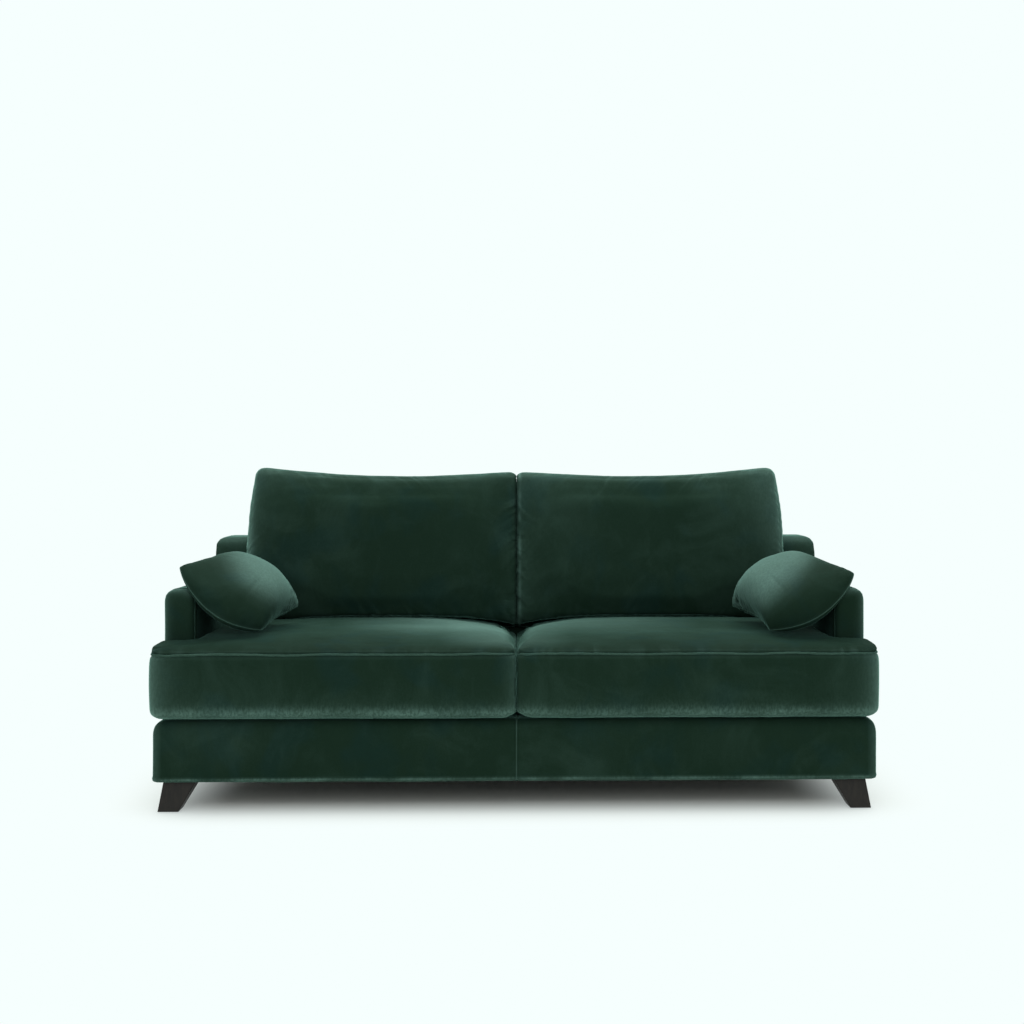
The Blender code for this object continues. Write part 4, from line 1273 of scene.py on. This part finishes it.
# The dust cover: its notches for the legs, how it hangs, and its staples
LEG_X, LEG_FRONT, LEG_REAR = 0.880, -0.335, 0.350
DUST_COVER_HELD = 0.12
DUST_COVER_SAG = 0.0018
STAPLE_INSET, STAPLE_PITCH, STAPLE_CROWN, STAPLE_WIRE = 0.009, 0.055, 0.0105, 0.0007


def marks(low, high, count, extra):
    """Even marks from low to high, with extra ones put in where a cut comes."""
    values = np.unique(np.concatenate([np.linspace(low, high, count), extra]))
    return values[np.concatenate([[True], np.diff(values) > 1e-6])]


def held(value, low, high):
    """0 at a stapled edge, 1 once clear of it."""
    return min(value - low, high - value, DUST_COVER_HELD) / DUST_COVER_HELD


def dust_cover_cloth(low, high, level):
    """The cloth under the rails, cut back at the four legs."""
    xs = marks(low.x, high.x, 98, (-LEG_X, LEG_X))
    ys = marks(low.y, high.y, 45, (LEG_FRONT, LEG_REAR))
    bm = bmesh.new()
    made = {}
    for i, j in itertools.product(range(len(xs) - 1), range(len(ys) - 1)):
        x, y = (xs[i] + xs[i + 1]) / 2, (ys[j] + ys[j + 1]) / 2
        if abs(x) > LEG_X and not LEG_FRONT < y < LEG_REAR:
            continue
        ring = ((i, j), (i, j + 1), (i + 1, j + 1), (i + 1, j))
        for a, b in ring:
            if (a, b) not in made:
                ripple = soft_noise(np.array([[xs[a] / 0.14, ys[b] / 0.10]]), 91)[0]
                drop = DUST_COVER_SAG * (1 + 0.5 * ripple)
                drop *= held(xs[a], low.x, high.x) * held(ys[b], low.y, high.y)
                made[a, b] = bm.verts.new((xs[a], ys[b], level - drop))
        bm.faces.new([made[place] for place in ring])
    return link_bmesh("dust_cover_cloth", bm, "cambric")


def dust_cover_staples(low, high, level):
    """A row of staples along each edge of the dust cover."""
    bm = bmesh.new()
    fronts = (low.y + STAPLE_INSET, high.y - STAPLE_INSET)
    ends = (low.x + STAPLE_INSET, high.x - STAPLE_INSET)
    rows = [(x, y, True) for y in fronts for x in np.arange(-0.85, 0.851, STAPLE_PITCH)]
    rows += [(x, y, False) for x in ends for y in np.arange(-0.31, 0.331, STAPLE_PITCH)]
    for x, y, along_x in rows:
        size = (STAPLE_CROWN, STAPLE_WIRE) if along_x else (STAPLE_WIRE, STAPLE_CROWN)
        for vert in bmesh.ops.create_cube(bm, size=1.0)["verts"]:
            place = vert.co * Vector((*size, STAPLE_WIRE))
            vert.co = place + Vector((x, y, level - 0.0005))
    bmesh.ops.bevel(bm, geom=bm.edges[:], offset=0.00018, segments=1, affect="EDGES")
    return link_bmesh("dust_cover_staples", bm, "steel")


def dress_dust_cover():
    """The cloth stapled under the rails."""
    low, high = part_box("dust_cover")
    level = (low.z + high.z) / 2
    cloth = dust_cover_cloth(low, high, level)
    shade_smooth(cloth)
    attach(cloth, "frame")
    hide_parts("dust_cover")
    row = dust_cover_staples(low, high, level)
    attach(row, "frame")
    area = (high.x - low.x) * (high.y - low.y)
    area -= 2 * (high.x - LEG_X) * ((LEG_FRONT - low.y) + (high.y - LEG_REAR))


# Operators


class SOFA_OT_timber(bpy.types.Operator):
    """Gives the frame, springs, webbing, dust cover, legs and glides their finishes"""

    bl_idname = "sofa.timber"
    bl_label = "Finish the Frame"

    def execute(self, context):
        finishes = {
            "leg_glide": "glide_plastic", "leg_bolt": "steel", "leg_": "leg_wood",
            "seat_spring": "steel", "spring_hook": "steel", "back_webbing": "webbing",
            "dust_cover": "cambric",
        }
        for name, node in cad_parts.items():
            kind = next((f for start, f in finishes.items() if name.startswith(start)), "timber")
            node.data.materials.clear()
            node.data.materials.append(material(kind))
        return {"FINISHED"}


class SOFA_OT_base(bpy.types.Operator):
    """Covers the front and ends of the base"""

    bl_idname = "sofa.base"
    bl_label = "Cover the Base"

    def execute(self, context):
        dress_cover("base_front_pad", "base_cover", 0.0014, 3, 3, base_seams)
        return {"FINISHED"}


class SOFA_OT_arms(bpy.types.Operator):
    """Covers both arms and their front facings"""

    bl_idname = "sofa.arms"
    bl_label = "Cover the Arms"

    def execute(self, context):
        for side, sign in SIDES:
            names = (f"arm_cover_{side}", f"arm_pad_{side}")
            pad = dress_cover(*names, 0.0014, 3, 8 + sign, painted_top_light)
            # Painted shade: darker, less sheeny velvet on the inner faces of the arm
            second_finish(pad, "shaded_low_sheen", lambda face: sign * face.normal.x < -0.6)
            names = (f"arm_facing_{side}", f"arm_front_{side}")
            front = dress_cover(*names, 0.0010, 2, 14 + sign, painted_front_rim)
            dress_welt(front, f"arm_welt_{side}", 0.004, 0.0010, 0.0024)
        return {"FINISHED"}


class SOFA_OT_back(bpy.types.Operator):
    """Covers the back and its outside panel"""

    bl_idname = "sofa.back"
    bl_label = "Cover the Back"

    def execute(self, context):
        dress_cover("back_cover", "back_pad", 0.0016, 3, 21, painted_top_light, 0.95)
        cloth = dress_cover("outside_back_panel", "outside_back_cloth", 0.0008, 2, 25, None, 1.1)
        dress_welt(cloth, "outside_back_welt", 0.005, 0.0008, 0.0026)
        return {"FINISHED"}


class SOFA_OT_deck(bpy.types.Operator):
    """Covers the deck under the seat cushions"""

    bl_idname = "sofa.deck"
    bl_label = "Cover the Deck"

    def execute(self, context):
        deck = dress_cover("seat_deck", "deck_cover", 0.0008, 2, 27, deck_seam, 1.3)
        second_finish(deck, "lining", lambda face: face.center.y > DECK_SEAM)
        return {"FINISHED"}


class SOFA_OT_dust_cover(bpy.types.Operator):
    """Staples the dust cover under the rails"""

    bl_idname = "sofa.dust_cover"
    bl_label = "Staple the Dust Cover"

    def execute(self, context):
        dress_dust_cover()
        return {"FINISHED"}


class SOFA_OT_seat_cushions(bpy.types.Operator):
    """Makes the two filled seat cushions with their piped seams"""

    bl_idname = "sofa.seat_cushions"
    bl_label = "Fill the Seat Cushions"

    def execute(self, context):
        for side, sign in SIDES:
            dress_seat_cushion(side, sign)
        return {"FINISHED"}


class SOFA_OT_back_cushions(bpy.types.Operator):
    """Makes the two filled back cushions"""

    bl_idname = "sofa.back_cushions"
    bl_label = "Fill the Back Cushions"

    def execute(self, context):
        for side, sign in SIDES:
            dress_back_cushion(side, sign)
        return {"FINISHED"}


class SOFA_OT_scatter_cushions(bpy.types.Operator):
    """Makes the two scatter cushions that lie over the arms"""

    bl_idname = "sofa.scatter_cushions"
    bl_label = "Fill the Scatter Cushions"

    def execute(self, context):
        for side, sign in SIDES:
            names = (f"arm_pad_{side}", f"arm_front_{side}", f"seat_cushion_cover_{side}")
            dress_scatter_cushion(side, sign, [bpy.data.objects[name] for name in names])
        return {"FINISHED"}


# The stage: the frame of the picture, and how far the shadow's part of the floor reaches
# from the sofa's middle, with the width over which it then runs into the backdrop
IMAGE_SIZE = 1024
SOFA_MIDDLE_PX = 516.5
HORIZON_PX = 470
SENSOR_WIDTH = 36.0
SHADOW_SIDE, SHADOW_FRONT, SHADOW_REAR = 0.80, -0.30, 0.45
SHADOW_FADE_ACROSS, SHADOW_FADE_ALONG = 0.46, 0.33


def floor_material(settings):
    """A plain floor that keeps the sofa's shadow near it and runs into the backdrop; the backdrop's
    glow fades in over the outer shadow, as painted light that lightens it at the ends and in front.
    """
    w = new_material("studio_floor")

    def past(a, b):
        return w.math("MAXIMUM", w.math("SUBTRACT", a, b), 0.0)

    tone = w.mix(w.noise(3.0), (0.905, 0.930, 0.872), (0.915, 0.940, 0.882))
    shade = w.node("ShaderNodeBsdfDiffuse", {"Color": tone})
    glow = w.node("ShaderNodeEmission", {"Color": (*settings.backdrop, 1.0), "Strength": 1.0})
    place = w.node("ShaderNodeSeparateXYZ", {"Vector": w.place}).outputs
    beside = past(w.math("ABSOLUTE", place["X"]), SHADOW_SIDE)
    before_or_behind = w.math("ADD", past(SHADOW_FRONT, place["Y"]), past(place["Y"], SHADOW_REAR))
    across = w.math("DIVIDE", beside, SHADOW_FADE_ACROSS)
    along = w.math("DIVIDE", before_or_behind, SHADOW_FADE_ALONG)
    far = w.span(w.math("SQRT", w.total((across, across), (along, along))), 0.0, 1.0)
    return w.output(w.blend(w.math("MULTIPLY", far, w.seen()), shade, glow))


def area_lamp(name, place, aim, width, height, power):
    lamp = bpy.data.lights.new(name, "AREA")
    lamp.shape = "RECTANGLE"
    lamp.size = width
    lamp.size_y = height
    lamp.energy = power
    obj = bpy.data.objects.new(name, lamp)
    bpy.context.scene.collection.objects.link(obj)
    obj.location = place
    obj.rotation_euler = (Vector(aim) - Vector(place)).to_track_quat("-Z", "Y").to_euler()
    obj.visible_camera = False


class SOFA_OT_stage(bpy.types.Operator):
    """Sets the floor, the backdrop, the soft lamps and the camera"""

    bl_idname = "sofa.stage"
    bl_label = "Set the Stage"

    def execute(self, context):
        scene = context.scene
        settings = scene.sofa_stage
        bm = bmesh.new()
        bmesh.ops.create_grid(bm, x_segments=8, y_segments=8, size=12.0)
        mesh = bpy.data.meshes.new("studio_floor")
        bm.to_mesh(mesh)
        bm.free()
        floor = bpy.data.objects.new("studio_floor", mesh)
        scene.collection.objects.link(floor)
        mesh.materials.append(floor_material(settings))

        room = Wiring(bpy.data.worlds.new("studio_room"))
        scene.world = room.owner
        backdrop = {"Color": (*settings.backdrop, 1.0), "Strength": 1.0}
        ambient = {"Color": (0.95, 1.0, 1.0, 1.0), "Strength": settings.ambient}
        shown, light = (room.node("ShaderNodeBackground", values) for values in (backdrop, ambient))
        room.output(room.blend(room.seen(), light, shown), "ShaderNodeOutputWorld")

        area_lamp("overhead_softbox", (0, 0.45, 3.0), (0, 0.2, 0.4), 4.2, 2.2, settings.key_power)
        area_lamp("front_fill", (0, -4.6, 2.4), (0, 0, 0.5), 4.0, 2.0, settings.fill_power)

        lens = bpy.data.cameras.new("studio_camera")
        lens.lens = settings.lens
        lens.sensor_width = SENSOR_WIDTH
        focal = settings.lens / SENSOR_WIDTH * IMAGE_SIZE
        turned = IMAGE_SIZE / 2 - focal * math.tan(settings.camera_turn)
        lens.shift_x = -(SOFA_MIDDLE_PX - turned) / IMAGE_SIZE
        lens.shift_y = (HORIZON_PX - IMAGE_SIZE / 2) / IMAGE_SIZE
        camera = bpy.data.objects.new("studio_camera", lens)
        scene.collection.objects.link(camera)
        camera.location = (0, -settings.camera_distance, settings.camera_height)
        camera.rotation_euler = (math.radians(90), 0, -settings.camera_turn)
        scene.camera = camera
        scene.view_settings.view_transform = "Standard"
        return {"FINISHED"}


class SOFA_PT_panel(bpy.types.Panel):
    """Lists the steps that dress the sofa"""

    bl_idname = "SOFA_PT_panel"
    bl_label = "Velvet Sofa"
    bl_space_type = "VIEW_3D"
    bl_region_type = "UI"
    bl_category = "Sofa"

    def draw(self, context):
        for operator in OPERATORS:
            self.layout.operator(operator.bl_idname)
        for group in ("sofa_velvet", "sofa_cushions", "sofa_stage"):
            column = self.layout.column(align=True)
            settings = getattr(context.scene, group)
            for key in settings.bl_rna.properties.keys():
                if key not in ("rna_type", "name"):
                    column.prop(settings, key)


SETTINGS = (
    ("sofa_velvet", VelvetSettings),
    ("sofa_cushions", CushionSettings),
    ("sofa_stage", StageSettings),
)
OPERATORS = (
    SOFA_OT_stage,
    SOFA_OT_timber,
    SOFA_OT_deck,
    SOFA_OT_dust_cover,
    SOFA_OT_base,
    SOFA_OT_arms,
    SOFA_OT_back,
    SOFA_OT_seat_cushions,
    SOFA_OT_back_cushions,
    SOFA_OT_scatter_cushions,
)


def register():
    for name, group in SETTINGS:
        bpy.utils.register_class(group)
        setattr(bpy.types.Scene, name, PointerProperty(type=group))
    for cls in (*OPERATORS, SOFA_PT_panel):
        bpy.utils.register_class(cls)


def unregister():
    for cls in (SOFA_PT_panel, *reversed(OPERATORS)):
        bpy.utils.unregister_class(cls)
    for name, group in SETTINGS:
        delattr(bpy.types.Scene, name)
        bpy.utils.unregister_class(group)


def main():
    register()
    for operator in OPERATORS:
        group, action = operator.bl_idname.split(".")
        getattr(getattr(bpy.ops, group), action)()


if __name__ == "__main__":
    main()
